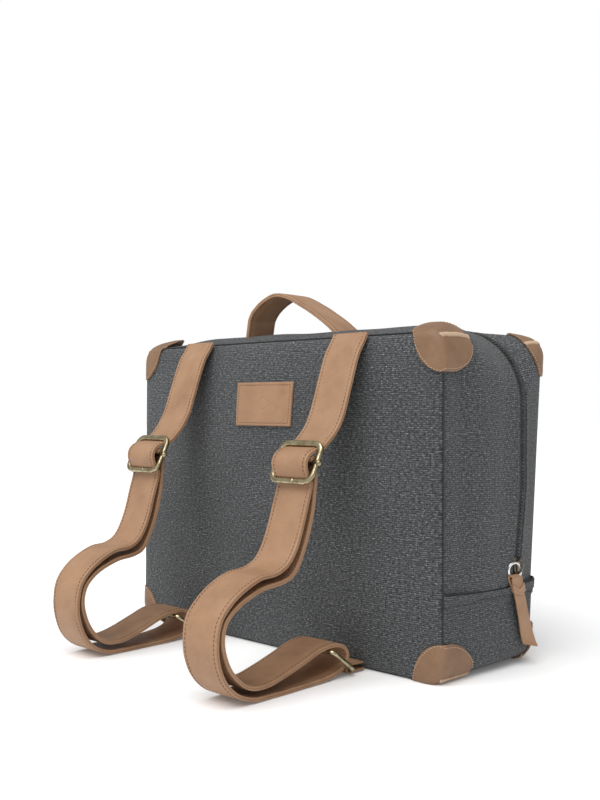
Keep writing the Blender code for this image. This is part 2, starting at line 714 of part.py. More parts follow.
def pull_set(base):
    """The split ring through the bridge, and the folded leather tab that hangs on it."""
    hole = base + Vector((0.0024, 0.0, -0.0015))
    middle = hole - Vector((0.0, 0.0, PULL_RING_R))
    bm = bmesh.new()
    turns, sides = 28, 8
    rings = []
    for i in range(turns):
        angle = 2 * math.pi * i / turns
        out = Vector((0.0, math.sin(angle), math.cos(angle)))
        rings.append([bm.verts.new(out * (PULL_RING_R + PULL_WIRE_R * math.cos(a))
                                   + Vector((PULL_WIRE_R * math.sin(a), 0.0, 0.0)))
                      for a in (2 * math.pi * k / sides for k in range(sides))])
    for i, ring in enumerate(rings):
        after = rings[(i + 1) % turns]
        for k in range(sides):
            n = (k + 1) % sides
            bm.faces.new((ring[k], ring[n], after[n], after[k]))
    add("pull_ring", mesh_of("pull_ring", bm), NICKEL).location = middle
    low = middle - Vector((0.0, 0.0, PULL_RING_R))
    route = []
    for step, out in ((-0.0480, 0.0008), (-0.0360, 0.0008), (-0.0200, 0.0008), (-0.0080, 0.0010)):
        route.append(low + Vector((out, 0.0, step)))
    for i in range(7):
        angle = math.radians(-20 + 220 * i / 6)
        route.append(low + Vector((0.0021 * math.cos(angle), 0.0, 0.0008 + 0.0026 * math.sin(angle))))
    route += [low + Vector((-0.0009, 0.0, -0.0080)), low + Vector((-0.0009, 0.0, -0.0190))]
    turned = [Vector((0.0, point.x, point.z)) for point in route]
    data = ribbon_mesh("pull_tab", 0.0, turned, 1.0, 0.0012)
    for vertex in data.vertices:
        side, out, height = vertex.co
        share = min(1.0, max(0.0, (low.z - height) / 0.018))
        width = 0.0072 + (0.0125 - 0.0072) * share
        lean = PULL_LEAN * max(0.0, low.z - height)
        vertex.co = (out, low.y + lean + (side * width), height)
    data.flip_normals()
    add("pull_tab", data, LEATHER)


def loop_band(name, look, inset, depth, y_from, y_to, rows):
    """A closed band all round the inside, such as the lining."""
    outer, inner = [], []
    for j in range(rows + 1):
        t = j / rows
        for grid, extra in ((outer, 0.0), (inner, depth)):
            upper = arch(corner_radius(t * 0.75), -inset - extra, 0.080)
            ring = upper + list(reversed(cup(CORNER_R, 0.0, inset + extra, 0.078)))
            grid.append([Vector((x, y_from + (y_to(z) - y_from) * t, z)) for x, z in ring])
    add(name, sheet_mesh(name, outer, inner, wrap=True), look)


def build():
    back_panel()
    arch_band("rear_gusset", CANVAS, 0.0, ZIP_SHARE_LOW, back_edge, lambda z: zip_y(z) - TAPE_HALF, HINGE_Z + GAP, 6)
    cup_band("bottom_gusset", CANVAS, back_edge, lambda z: front_y(z) - GAP, HINGE_Z - GAP, 6)
    arch_band("cover_gusset", CANVAS, ZIP_SHARE_HIGH, 1.0, lambda z: zip_y(z) + TAPE_HALF, lambda z: front_y(z) - GAP,
              HINGE_Z + GAP, 3)
    zip_half("zip_tape_rear", -1, HINGE_Z + 2 * GAP, ZIP_SHARE)
    zip_half("zip_tape_cover", 1, ZIP_LOW_Z + 0.014, ZIP_SHARE)
    upper = panel_outline(GAP, low_z=HINGE_Z + GAP)
    lower = panel_outline(GAP, high_z=HINGE_Z - GAP)
    add("front_panel_upper", plate_mesh("front_panel_upper", upper, lambda z: front_y(z), PANEL_T), CANVAS)
    add("front_panel_lower", plate_mesh("front_panel_lower", lower, lambda z: front_y(z), PANEL_T), CANVAS)
    inside = [(x * 0.955, 0.0055 + z * 0.955) for x, z in panel_outline(0.0)]
    add("back_stiffener", plate_mesh("back_stiffener", inside, lambda z: BACK_Y + 0.0005, 0.0012), BOARD)
    cover_inside = [(x * 0.94, HINGE_Z + 0.008 + (z - HINGE_Z) * 0.93) for x, z in upper]
    add("cover_stiffener", plate_mesh("cover_stiffener", cover_inside, lambda z: front_y(z) - 0.0018, 0.0012),
        BOARD)
    add("cover_lining", plate_mesh("cover_lining", cover_inside, lambda z: front_y(z) - 0.0032, 0.0008), LINING)
    loop_band("body_lining", LINING, 0.0032, 0.0008, BACK_Y + 0.0025, lambda z: zip_y(z) - 0.009, 5)
    label()
    handle_strip("handle_foot_left", FOOT_LEFT)
    handle_strip("carry_handle", BOW, (0.0, HANDLE_Y, HANDLE_PIVOT_Z))
    handle_strip("handle_foot_right", FOOT_RIGHT)
    for side, right in (("right", True), ("left", False)):
        corner_patch("corner_back_top_" + side, right, True, False)
        corner_patch("corner_back_bottom_" + side, right, False, False)
        corner_patch("corner_front_top_" + side, right, True, True)
        corner_patch("corner_front_bottom_" + side, right, False, True)
    strap_set("right", STRAP_X, REACH_RIGHT)
    strap_set("left", -STRAP_X, REACH_LEFT)
    pull_set(zip_slider())


clear_scene()
PARTS = collection("travel_backpack")
GUIDES = collection("guides")
build()
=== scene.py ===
"""Looks of the canvas travel backpack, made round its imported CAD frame."""

import json
import math
import random

import bmesh
import bpy
from mathutils import Matrix, Vector, noise


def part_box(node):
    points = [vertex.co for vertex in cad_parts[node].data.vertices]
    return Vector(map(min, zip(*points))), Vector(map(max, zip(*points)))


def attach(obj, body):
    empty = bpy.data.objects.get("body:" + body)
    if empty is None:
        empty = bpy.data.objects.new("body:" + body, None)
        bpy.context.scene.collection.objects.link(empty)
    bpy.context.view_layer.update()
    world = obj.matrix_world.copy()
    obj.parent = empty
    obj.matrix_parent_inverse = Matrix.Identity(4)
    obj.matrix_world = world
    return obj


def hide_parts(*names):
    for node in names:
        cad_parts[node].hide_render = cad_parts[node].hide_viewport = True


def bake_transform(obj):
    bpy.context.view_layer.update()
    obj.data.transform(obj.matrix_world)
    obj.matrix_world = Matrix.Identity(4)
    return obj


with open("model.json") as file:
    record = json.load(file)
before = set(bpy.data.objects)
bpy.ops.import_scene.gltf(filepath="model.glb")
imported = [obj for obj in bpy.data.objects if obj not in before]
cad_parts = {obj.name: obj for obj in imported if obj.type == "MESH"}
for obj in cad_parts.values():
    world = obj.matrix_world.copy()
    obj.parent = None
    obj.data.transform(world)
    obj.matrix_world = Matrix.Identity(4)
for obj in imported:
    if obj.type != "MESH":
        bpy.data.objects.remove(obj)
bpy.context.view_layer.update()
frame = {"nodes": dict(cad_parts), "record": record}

MM = 0.001
rng = random.Random(7)

# ---- Sizes, read from the frame -----------------------------------------------------------------
panel_high = Vector(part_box("back_panel")[1])
gusset_low, gusset_high = (Vector(p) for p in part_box("rear_gusset"))
front_low, front_high = (Vector(p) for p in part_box("front_panel_lower"))
upper_high = Vector(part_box("front_panel_upper")[1])
label_low, label_high = (Vector(p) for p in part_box("label"))
JOINTS = {joint["name"]: joint for joint in frame["record"]["behaviour"]["joints"]}

GAP = 0.4 * MM
HALF_W = panel_high.x + GAP
PANEL_TOP = panel_high.z + GAP
BACK_Y = gusset_low.y
CORNER_R = 14 * MM
ZIP_CORNER_R = 50 * MM
CROWN_TOP = gusset_high.z - PANEL_TOP
CROWN_SIDE = gusset_high.x - HALF_W
BULGE = 12 * MM
CANVAS_T, PANEL_T = 1.6 * MM, 2.2 * MM
REAR_BAND_LOW, COVER_BAND_LOW = 58 * MM, 57 * MM
GUSSET_RIPPLE = 1.6 * MM
HEM_Z = 60.5 * MM
HEM_DEEP = 7.5 * MM
LEFT_SLACK = 0.55          # share of the swelling that the top's left end lacks
HINGE = Vector(JOINTS["cover_hinge"]["pos_m"])
FRONT_SLOPE = (upper_high.y - front_high.y) / (upper_high.z - front_high.z)
FRONT_LOW = front_low.y - FRONT_SLOPE * front_low.z
ZIP_Y = 27.5 * MM
ZIP_DRIFT = 9 * MM
ZIP_DRIFT_FROM = 127 * MM
ZIP_LOW_Z = 67.5 * MM
TAPE_HALF = 5 * MM
ZIP_SHARE_LOW, ZIP_SHARE, ZIP_SHARE_HIGH = 0.76, 0.82, 0.88

STRAP_W = 32 * MM
STRAP_T = 2.8 * MM


# ---- Node helpers -------------------------------------------------------------------------------
class Nodes:
    """Short ways to add and link shader nodes."""

    def __init__(self, name):
        self.material = bpy.data.materials.new(name)
        self.material.use_nodes = True
        self.tree = self.material.node_tree
        self.shader = self.tree.nodes["Principled BSDF"]

    def feed(self, node, key, value):
        socket = node.inputs[key]
        if isinstance(value, bpy.types.NodeSocket):
            self.tree.links.new(value, socket)
        elif value is not None:
            socket.default_value = value

    def math(self, operation, a, b=None, clamp=False):
        node = self.tree.nodes.new("ShaderNodeMath")
        node.operation = operation
        node.use_clamp = clamp
        self.feed(node, 0, a)
        self.feed(node, 1, b)
        return node.outputs[0]

    def uv(self, scale_u=1.0, scale_v=1.0, shift=0.0):
        source = self.tree.nodes.new("ShaderNodeUVMap")
        source.uv_map = "cloth"
        node = self.tree.nodes.new("ShaderNodeMapping")
        node.inputs["Scale"].default_value = (scale_u, scale_v, 1.0)
        node.inputs["Location"].default_value = (shift, shift * 0.7, 0.0)
        self.tree.links.new(source.outputs[0], node.inputs[0])
        return node.outputs[0]

    def place(self, scale=1.0):
        source = self.tree.nodes.new("ShaderNodeTexCoord")
        node = self.tree.nodes.new("ShaderNodeMapping")
        node.inputs["Scale"].default_value = (scale, scale, scale)
        self.tree.links.new(source.outputs["Object"], node.inputs[0])
        return node.outputs[0]

    def noise(self, vector, scale, detail=2.0, rough=0.5):
        node = self.tree.nodes.new("ShaderNodeTexNoise")
        self.feed(node, "Vector", vector)
        node.inputs["Scale"].default_value = scale
        node.inputs["Detail"].default_value = detail
        node.inputs["Roughness"].default_value = rough
        return node.outputs["Fac"]

    def voronoi(self, vector, scale, feature="F1"):
        node = self.tree.nodes.new("ShaderNodeTexVoronoi")
        node.feature = feature
        self.feed(node, "Vector", vector)
        node.inputs["Scale"].default_value = scale
        return node.outputs["Distance"]

    def split(self, vector):
        node = self.tree.nodes.new("ShaderNodeSeparateXYZ")
        self.feed(node, 0, vector)
        return node.outputs

    def ramp(self, factor, *stops):
        node = self.tree.nodes.new("ShaderNodeValToRGB")
        self.feed(node, 0, factor)
        marks = node.color_ramp.elements
        while len(marks) < len(stops):
            marks.new(0.5)
        for mark, (at, value) in zip(marks, stops):
            mark.position = at
            mark.color = (*value, 1.0) if isinstance(value, tuple) else (value, value, value, 1.0)
        return node.outputs[0]

    def mix(self, factor, a, b, blend="MIX"):
        node = self.tree.nodes.new("ShaderNodeMix")
        node.data_type = "RGBA"
        node.blend_type = blend
        self.feed(node, 0, factor)
        self.feed(node, 6, (*a, 1.0) if isinstance(a, tuple) else a)
        self.feed(node, 7, (*b, 1.0) if isinstance(b, tuple) else b)
        return node.outputs[2]

    def bump(self, height, distance, strength=1.0, below=None):
        node = self.tree.nodes.new("ShaderNodeBump")
        node.inputs["Strength"].default_value = strength
        node.inputs["Distance"].default_value = distance
        self.feed(node, "Height", height)
        if below is not None:
            self.tree.links.new(below, node.inputs["Normal"])
        return node.outputs[0]

    def finish(self, color=None, rough=None, normal=None, **constants):
        self.feed(self.shader, "Base Color", (*color, 1.0) if isinstance(color, tuple) else color)
        self.feed(self.shader, "Roughness", rough)
        if normal is not None:
            self.tree.links.new(normal, self.shader.inputs["Normal"])
        for key, value in constants.items():
            self.shader.inputs[key.replace("_", " ")].default_value = value
        return self.material


# ---- Materials ----------------------------------------------------------------------------------
YARN_ACROSS, YARN_UP = 0.9 * MM, 1.45 * MM


def canvas():
    """Heathered weave: rows of pale and dark dashes over a darker warp, with slubs and a few white flecks."""
    n = Nodes("heathered_canvas")
    wobble = n.noise(n.uv(30, 160), 1.0, 2.0)
    u, v, _w = n.split(n.uv(1 / YARN_ACROSS, 1 / YARN_UP))
    v = n.math("ADD", v, n.math("MULTIPLY", n.math("SUBTRACT", wobble, 0.5), 0.8))
    wave_u = n.math("SINE", n.math("MULTIPLY", u, math.pi))
    wave_v = n.math("SINE", n.math("MULTIPLY", v, math.pi))
    ridge = n.math("ABSOLUTE", wave_v)
    weft_tone = n.noise(n.uv(430, 760), 1.0, 2.5, 0.78)
    warp_tone = n.noise(n.uv(900, 300, 3.1), 1.0, 2.5, 0.75)
    weft = n.ramp(weft_tone, (0.33, (0.020, 0.0212, 0.0222)), (0.47, (0.068, 0.0715, 0.074)),
                  (0.58, (0.140, 0.146, 0.150)), (0.72, (0.34, 0.35, 0.355)))
    warp = n.ramp(warp_tone, (0.36, (0.012, 0.0128, 0.0136)), (0.52, (0.036, 0.038, 0.040)),
                  (0.68, (0.110, 0.115, 0.118)))
    on_top = n.ramp(ridge, (0.20, 0.0), (0.62, 1.0))
    knit = n.math("ADD", n.math("MULTIPLY", wave_u, 0.16), 0.90)
    color = n.mix(n.math("MULTIPLY", on_top, knit, clamp=True), warp, weft)
    fleck = n.ramp(n.noise(n.uv(330, 520, 9.0), 1.0, 1.0), (0.775, 0.0), (0.81, 1.0))
    color = n.mix(n.math("MULTIPLY", fleck, 0.85), color, (0.66, 0.66, 0.66))
    broad = n.ramp(n.noise(n.uv(11, 11, 5.0), 1.0, 3.0), (0.30, 0.86), (0.70, 1.08))
    color = n.mix(1.0, color, broad, "MULTIPLY")
    height = n.math("ADD", n.math("MULTIPLY", ridge, 0.5), n.math("MULTIPLY", weft_tone, 0.7))
    height = n.math("ADD", height, n.math("MULTIPLY", wave_u, 0.10))
    return n.finish(color, 0.88, n.bump(height, 0.6 * MM, 1.0), Sheen_Weight=0.12, Sheen_Roughness=0.5,
                    Specular_IOR_Level=0.20)


def leather(name, tone=1.0, edge=False):
    """Smooth tan hide: fine grain, soft mottling and a few faint creases."""
    n = Nodes(name)
    spot = n.place()
    mottle = n.noise(spot, 45.0, 4.0, 0.6)
    fine = n.noise(spot, 900.0, 3.0, 0.6)
    deep, mid, pale = (0.270, 0.146, 0.077), (0.345, 0.194, 0.106), (0.410, 0.240, 0.137)
    if edge:
        deep, mid, pale = (0.36, 0.225, 0.135), (0.50, 0.335, 0.215), (0.62, 0.45, 0.31)
    deep, mid, pale = (tuple(c * tone for c in shade) for shade in (deep, mid, pale))
    color = n.ramp(mottle, (0.25, deep), (0.50, mid), (0.78, pale))
    color = n.mix(0.18, color, n.ramp(fine, (0.30, deep), (0.62, pale)))
    cells = n.voronoi(spot, 1500.0, "DISTANCE_TO_EDGE")
    grain = n.math("MINIMUM", n.math("MULTIPLY", cells, 5.0), 1.0)
    crease = n.ramp(n.noise(spot, 160.0, 5.0, 0.7), (0.40, 0.0), (0.60, 1.0))
    color = n.mix(0.30, color, n.mix(1.0, color, n.ramp(grain, (0.0, 0.62), (0.6, 1.0)), "MULTIPLY"))
    height = n.math("ADD", n.math("MULTIPLY", grain, 0.35), n.math("MULTIPLY", fine, 0.8))
    height = n.math("ADD", height, n.math("MULTIPLY", crease, 0.45))
    rough = n.ramp(mottle, (0.3, 0.62), (0.7, 0.48))
    return n.finish(color, rough, n.bump(height, 0.12 * MM, 0.55), Specular_IOR_Level=0.42)


def metal(name, base, dark, rough, worn=0.0):
    """Plated wire: darker in random patches of patina, with fine scratches and rubbed spots. On the brass the darker
    colour and its dark patches also stand in for dark reflections: painted reflection.
    """
    n = Nodes(name)
    spot = n.place()
    patina_and_painted_reflection = n.noise(spot, 170.0, 3.0, 0.55)
    scratch = n.noise(n.place(), 2200.0, 2.0, 0.6)
    color = n.ramp(patina_and_painted_reflection, (0.34, dark), (0.60, base))
    color = n.mix(worn, color, n.ramp(scratch, (0.45, base), (0.75, tuple(min(1.0, c * 1.3) for c in base))))
    worn_off = n.math("ADD", patina_and_painted_reflection, n.math("MULTIPLY", scratch, 0.35))
    shine = n.ramp(worn_off, (0.45, rough + 0.16), (0.85, rough))
    return n.finish(color, shine, n.bump(scratch, 0.012 * MM, 0.25), Metallic=1.0)


def tape():
    """Fine twill of the zip's tapes."""
    n = Nodes("zip_tape_twill")
    u, v, _w = n.split(n.uv(1 / (0.6 * MM), 1 / (0.6 * MM)))
    rib = n.math("SINE", n.math("MULTIPLY", n.math("ADD", u, v), math.pi))
    fuzz = n.noise(n.uv(900, 900), 1.0, 3.0)
    color = n.ramp(n.math("ADD", n.math("MULTIPLY", rib, 0.18), fuzz), (0.30, (0.012, 0.013, 0.015)),
                   (0.80, (0.075, 0.078, 0.085)))
    return n.finish(color, 0.85, n.bump(rib, 0.15 * MM, 0.7), Sheen_Weight=0.1)


def thread(name, base):
    """Twisted sewing thread."""
    n = Nodes(name)
    twist = n.noise(n.place(), 2200.0, 2.0)
    dark, pale = (tuple(min(1.0, c * share) for c in base) for share in (0.72, 1.15))
    color = n.ramp(twist, (0.3, dark), (0.7, pale))
    return n.finish(color, 0.6, n.bump(twist, 0.05 * MM, 0.6))


def lining():
    """Plain cotton."""
    n = Nodes("cotton_lining")
    x, y, z = n.split(n.place(1 / (0.5 * MM)))
    rib = n.math("MULTIPLY", n.math("SINE", n.math("ADD", x, y)), n.math("SINE", z))
    shade = n.noise(n.place(), 60.0, 4.0)
    color = n.ramp(shade, (0.3, (0.16, 0.15, 0.135)), (0.7, (0.25, 0.235, 0.21)))
    return n.finish(color, 0.85, n.bump(rib, 0.1 * MM, 0.5))


def board():
    n = Nodes("stiffening_board")
    fibre = n.noise(n.place(), 700.0, 5.0, 0.7)
    color = n.ramp(fibre, (0.3, (0.24, 0.20, 0.15)), (0.7, (0.40, 0.34, 0.26)))
    return n.finish(color, 0.9, n.bump(fibre, 0.1 * MM, 0.5))


CANVAS = canvas()
HIDE = leather("tan_leather")
HIDE_DEEP = leather("tan_leather_corner", 0.66)
# darker copy of the hide for the handle's inner side: painted shade
HIDE_PAINTED_SHADE = leather("tan_leather_painted_underside_shade", 0.50)
CUT_EDGE = leather("raw_leather_edge", edge=True)
# dark thread for the hem and zip stitches, and also the colour of the painted shade lines along the seams and the hem
DARK_THREAD_AND_SEAM_SHADE = thread("dark_thread_and_painted_seam_shade", (0.016, 0.017, 0.018))
THREAD = thread("tan_thread", (0.150, 0.074, 0.040))
THREAD_PALE = thread("pale_thread", (0.56, 0.40, 0.27))
# darkened base and dark patches: partly antique patina, partly painted dark reflections
BRASS = metal("antique_brass_painted_dark_reflections", (0.46, 0.40, 0.255), (0.20, 0.155, 0.085), 0.20, 0.20)
BRONZE = metal("dark_bronze", (0.16, 0.14, 0.11), (0.07, 0.06, 0.048), 0.30, 0.30)
TEETH = metal("zip_teeth_metal", (0.10, 0.094, 0.088), (0.028, 0.026, 0.025), 0.36, 0.30)
NICKEL = metal("bright_nickel", (0.86, 0.855, 0.84), (0.62, 0.61, 0.59), 0.14, 0.25)
TAPE = tape()
LINING = lining()
BOARD = board()


# ---- Mesh helpers -------------------------------------------------------------------------------
def mesh_data(bm, name, outward=True, sharp=None):
    """The finished mesh: normals turned outwards, and edges sharper than an angle in degrees kept hard."""
    if outward:
        bmesh.ops.recalc_face_normals(bm, faces=bm.faces)
    data = bpy.data.meshes.new(name)
    bm.to_mesh(data)
    bm.free()
    if sharp:
        data.set_sharp_from_angle(angle=math.radians(sharp))
    return data


def skin(bm, rings, slot_of=lambda _k, _n: 0):
    """Smooth faces between closed rings of corners; slot_of gives the material between two neighbours."""
    count = len(rings[0])
    for ring, after in zip(rings, rings[1:]):
        for k in range(count):
            n = (k + 1) % count
            face = bm.faces.new((ring[k], ring[n], after[n], after[k]))
            face.smooth = True
            face.material_index = slot_of(k, n)


def place_piece(name, data, materials, body, stands_for=()):
    piece = bpy.data.objects.new(name, data)
    data.materials.clear()
    for look in materials:
        data.materials.append(look)
    bpy.context.scene.collection.objects.link(piece)
    if body is not None:
        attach(piece, body)
    if stands_for:
        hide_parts(*stands_for)
    return piece


def sheet_mesh(name, outer, inner, cloth=None, wrap=False, edge_material=0):
    """A closed sheet between two grids of points, with cloth giving (u, v) in metres for each grid place."""
    bm = bmesh.new()
    layer = bm.loops.layers.uv.new("cloth")
    top = [[bm.verts.new(p) for p in row] for row in outer]
    low = [[bm.verts.new(p) for p in row] for row in inner]
    rows, cols = len(top), len(top[0])
    spans = cols if wrap else cols - 1

    def add(corners, places, slot=0):
        face = bm.faces.new(corners)
        face.smooth = True
        face.material_index = slot
        if cloth:
            for loop, (j, i) in zip(face.loops, places):
                loop[layer].uv = cloth[j][i]

    for j in range(rows - 1):
        for i in range(spans):
            k = (i + 1) % cols
            spots = ((j, i), (j, k), (j + 1, k), (j + 1, i))
            add([top[a][b] for a, b in spots], spots)
            back = tuple(reversed(spots))
            add([low[a][b] for a, b in back], back)
    for j in (0, rows - 1):
        for i in range(spans):
            k = (i + 1) % cols
            add((top[j][i], low[j][i], low[j][k], top[j][k]), ((j, i), (j, i), (j, k), (j, k)), edge_material)
    if not wrap:
        for i in (0, cols - 1):
            for j in range(rows - 1):
                add((top[j][i], top[j + 1][i], low[j + 1][i], low[j][i]),
                    ((j, i), (j + 1, i), (j + 1, i), (j, i)), edge_material)
    data = mesh_data(bm, name, sharp=50)
    return data


def smooth_route(points, steps):
    """A Catmull-Rom curve through the points."""
    ends = [points[0] * 2 - points[1]] + list(points) + [points[-1] * 2 - points[-2]]
    route = []
    for a, b, c, d in zip(ends, ends[1:], ends[2:], ends[3:]):
        for i in range(steps):
            t = i / steps
            route.append(0.5 * ((2 * b) + (c - a) * t + (2 * a - 5 * b + 4 * c - d) * t * t
                                + (3 * b - a - 3 * c + d) * t ** 3))
    route.append(Vector(points[-1]))
    return route


def along_route(route):
    """Directions along a route, one for each point."""
    found = []
    for i in range(len(route)):
        found.append((route[min(i + 1, len(route) - 1)] - route[max(i - 1, 0)]).normalized())
    return found


def even_route(route, pitch):
    """Places every pitch along a route, as (point, direction, distance)."""
    places, carried, gone = [], pitch / 2, 0.0
    for a, b in zip(route, route[1:]):
        span = (b - a).length
        while carried < span:
            places.append((a.lerp(b, carried / span), (b - a).normalized(), gone + carried))
            carried += pitch
        carried -= span
        gone += span
    return places


STITCH_SIDES = 5
# share of the stitch's length, share of its thickness, how far it dips into the surface
STITCH_SHAPE = ((-0.5, 0.45, 0.9), (-0.3, 1.0, 0.25), (0.0, 1.1, 0.0), (0.3, 1.0, 0.25), (0.5, 0.45, 0.9))


def add_stitch(bm, middle, along, out, length, radius):
    """One stitch: a small bead that dives into the surface at both ends."""
    along = along.normalized()
    side = along.cross(out).normalized()
    out = side.cross(along).normalized()
    rings = []
    for share, size, dip in STITCH_SHAPE:
        center = middle + along * (share * length) - out * (dip * radius)
        rings.append([bm.verts.new(center + (side * math.cos(a) + out * math.sin(a)) * radius * size)
                      for a in (2 * math.pi * k / STITCH_SIDES for k in range(STITCH_SIDES))])
    skin(bm, rings)
    bm.faces.new(list(reversed(rings[0])))
    bm.faces.new(rings[-1])


def stitches(name, rows, look, body, length=2.0 * MM, radius=0.28 * MM, pitch=2.9 * MM):
    """Rows of stitches as one piece; each row is a route and a function giving the surface's outward side."""
    bm = bmesh.new()
    for route, outward in rows:
        for middle, along, gone in even_route(route, pitch):
            turn = rng.uniform(-0.10, 0.10)
            out = outward(middle, along, gone)
            side = along.cross(out).normalized()
            add_stitch(bm, middle + out * (radius * 0.15), (along + side * turn), out, length, radius)
    data = mesh_data(bm, name, outward=False)
    return place_piece(name, data, [look], body)


# ---- The bag's surface --------------------------------------------------------------------------
def front_y(z):
    return FRONT_LOW + FRONT_SLOPE * z


def zip_y(z):
    drift = min(1.0, max(0.0, (ZIP_DRIFT_FROM - z) / (ZIP_DRIFT_FROM - ZIP_LOW_Z)))
    return ZIP_Y - ZIP_DRIFT * drift


def arch_point(radius, top_swell, side_swell, inset, low_z, share):
    """A point over the sides and top, share running from the lower right end to the lower left end."""
    side = PANEL_TOP - radius - low_z
    quarter = radius * math.pi / 2
    top = 2 * (HALF_W - radius)
    walked = share * (2 * side + 2 * quarter + top)
    if walked > side + quarter + top / 2:
        x, z, nx, nz = arch_point(radius, top_swell, side_swell, inset, low_z, 1 - share)
        slack = min(1.0, max(0.0, (x - 85 * MM) / (50 * MM)))
        z -= LEFT_SLACK * slack * slack * (3 - 2 * slack) * top_swell * max(0.0, nz)
        return -x, z, -nx, nz
    if walked < side:
        return HALF_W + side_swell - inset, low_z + walked, 1.0, 0.0
    if walked < side + quarter:
        angle = (walked - side) / radius
        swell = side_swell * math.cos(angle) ** 2 + top_swell * math.sin(angle) ** 2 - inset
        nx, nz = math.cos(angle), math.sin(angle)
        return HALF_W - radius + (radius + swell) * nx, PANEL_TOP - radius + (radius + swell) * nz, nx, nz
    return HALF_W - radius - (walked - side - quarter), PANEL_TOP + top_swell - inset, 0.0, 1.0


def cup_point(swell, inset, high_z, share):
    """A point round the sides and flat underside, from the upper right end to the upper left end."""
    radius = CORNER_R
    side = high_z - radius
    quarter = radius * math.pi / 2
    bottom = 2 * (HALF_W - radius)
    walked = share * (2 * side + 2 * quarter + bottom)
    if walked > side + quarter + bottom / 2:
        x, z, nx, nz = cup_point(swell, inset, high_z, 1 - share)
        return -x, z, -nx, nz
    if walked < side:
        return HALF_W + swell - inset, high_z - walked, 1.0, 0.0
    if walked < side + quarter:
        angle = (walked - side) / radius
        nx, nz = math.cos(angle), -math.sin(angle)
        reach = radius + swell * math.cos(angle) - inset
        return HALF_W - radius + reach * nx, radius + (radius - inset) * nz, nx, nz
    return HALF_W - radius - (walked - side - quarter), inset, 0.0, -1.0


def crown(t):
    """Share of the gusset's swelling at share t of the way between the panels."""
    if not 0 < t < 1:
        return 0.0
    return min(1.0, math.sin(min(1.0, t / 0.20) * math.pi / 2), ((1 - t) / 0.10) ** 0.6)


def crown_side(t):
    """The same for the sides, which stay flat for longer."""
    if not 0 < t < 1:
        return 0.0
    rise = min(1.0, t / 0.70)
    return min(rise * rise * (3 - 2 * rise), ((1 - t) / 0.10) ** 0.6)


def corner_radius(t):
    share = t / ZIP_SHARE_LOW if t < ZIP_SHARE_LOW else (1 - t) / (1 - ZIP_SHARE_HIGH)
    return CORNER_R + (ZIP_CORNER_R - CORNER_R) * min(1.0, max(0.0, share)) ** 1.3


def ripple(x, y, z, size, seed):
    """Soft unevenness of filled canvas."""
    spot = Vector((x + seed, y - seed, z)) * 14.0
    fold = Vector((x * 34 + seed, y * 34, z * 11.0))
    return size * (0.7 * noise.noise(spot) + 0.3 * noise.noise(fold))


def seam_tuck(away):
    """How far canvas is drawn in beside a sewn seam."""
    return 1.5 * MM * max(0.0, 1 - max(0.0, away) / (3.2 * MM)) ** 1.6


def side_fold(at, z):
    """Upright folds where the soft side slumps between its seams."""
    wander = 0.030 * math.sin(z * 21.0 + 0.6) + 0.018 * math.sin(z * 47.0)
    dip = math.exp(-((at - 0.20 - wander) / 0.075) ** 2)
    ridge = math.exp(-((at - 0.40 - 1.4 * wander) / 0.10) ** 2)
    last = math.exp(-((at - 0.60 + wander) / 0.07) ** 2)
    low = min(1.0, max(0.0, (z - HEM_Z) / (30 * MM)))
    return (-1.6 * dip + 1.1 * ridge - 1.0 * last) * MM * low


def zip_fold(away, band_from, band_to, t):
    """The folded edge beside the zip stands proud of the tape."""
    at_zip = t > 0.5 if band_from == 0.0 else t < 0.5
    if not at_zip or band_to - band_from < 0.01:
        return 0.0
    return 0.9 * MM * max(0.0, 1 - (away / (5 * MM)) ** 2)


def gusset_point(t, share, low_z, inset, y_from, y_to, band_from, band_to, seed=0.0):
    """A point of the side and top bands; t runs across the band, share along it."""
    at = band_from + (band_to - band_from) * t
    x, z, nx, nz = arch_point(corner_radius(at), CROWN_TOP * crown(at), CROWN_SIDE * crown_side(at), inset,
                              low_z, share)
    y = y_from(z) + (y_to(z) - y_from(z)) * t
    push = ripple(x, y, z, GUSSET_RIPPLE, seed) * min(1.0, t * 6, (1 - t) * 6)
    push += side_fold(at, z) * abs(nx)
    push -= seam_tuck(min(y - BACK_Y, front_y(z) - y))
    push += zip_fold(min(abs(y - y_from(z)), abs(y_to(z) - y)), band_from, band_to, t)
    return Vector((x + nx * push, y, z + nz * push))


def band(name, body, nodes, low_z, y_from, y_to, band_from, band_to, rows, cols, seed=0.0):
    """A canvas band over the sides and top."""
    outer, inner, cloth = [], [], []
    length = 2 * (PANEL_TOP - low_z) + 2 * HALF_W
    for j in range(rows + 1):
        t = j / rows
        outer.append([gusset_point(t, i / cols, low_z, 0.0, y_from, y_to, band_from, band_to, seed)
                      for i in range(cols + 1)])
        inner.append([gusset_point(t, i / cols, low_z, CANVAS_T, y_from, y_to, band_from, band_to, seed)
                      for i in range(cols + 1)])
        cloth.append([(p.y + 0.3, i / cols * length) for i, p in enumerate(outer[-1])])
    data = sheet_mesh(name, outer, inner, cloth)
    return place_piece(name, data, [CANVAS], body, nodes)


def rear_band():
    band("canvas_gusset_rear", "root", ("rear_gusset",), REAR_BAND_LOW, lambda _z: BACK_Y,
         lambda z: zip_y(z) - TAPE_HALF,
         0.0, ZIP_SHARE_LOW, 44, 300, seed=1.3)


def cover_band():
    piece = band("canvas_gusset_cover", None, ("cover_gusset",), COVER_BAND_LOW, lambda z: zip_y(z) + TAPE_HALF,
                 front_y, ZIP_SHARE_HIGH, 1.0, 12, 300, seed=4.1)
    fold_blend(piece)


def fold_blend(piece):
    """Bakes the piece's placement into its mesh."""
    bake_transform(piece)


def floor_lift(x, y):
    """How high the underside stands: the corners rest on their patches."""
    away_x = min(1.0, max(0.0, (HALF_W - abs(x)) / (36 * MM)))
    away_y = min(1.0, max(0.0, min(y - BACK_Y, front_y(0.0) - y) / (42 * MM)))
    near = max(0.0, 1 - max(away_x, away_y) ** 4)
    return 0.3 * MM + 1.9 * MM * near


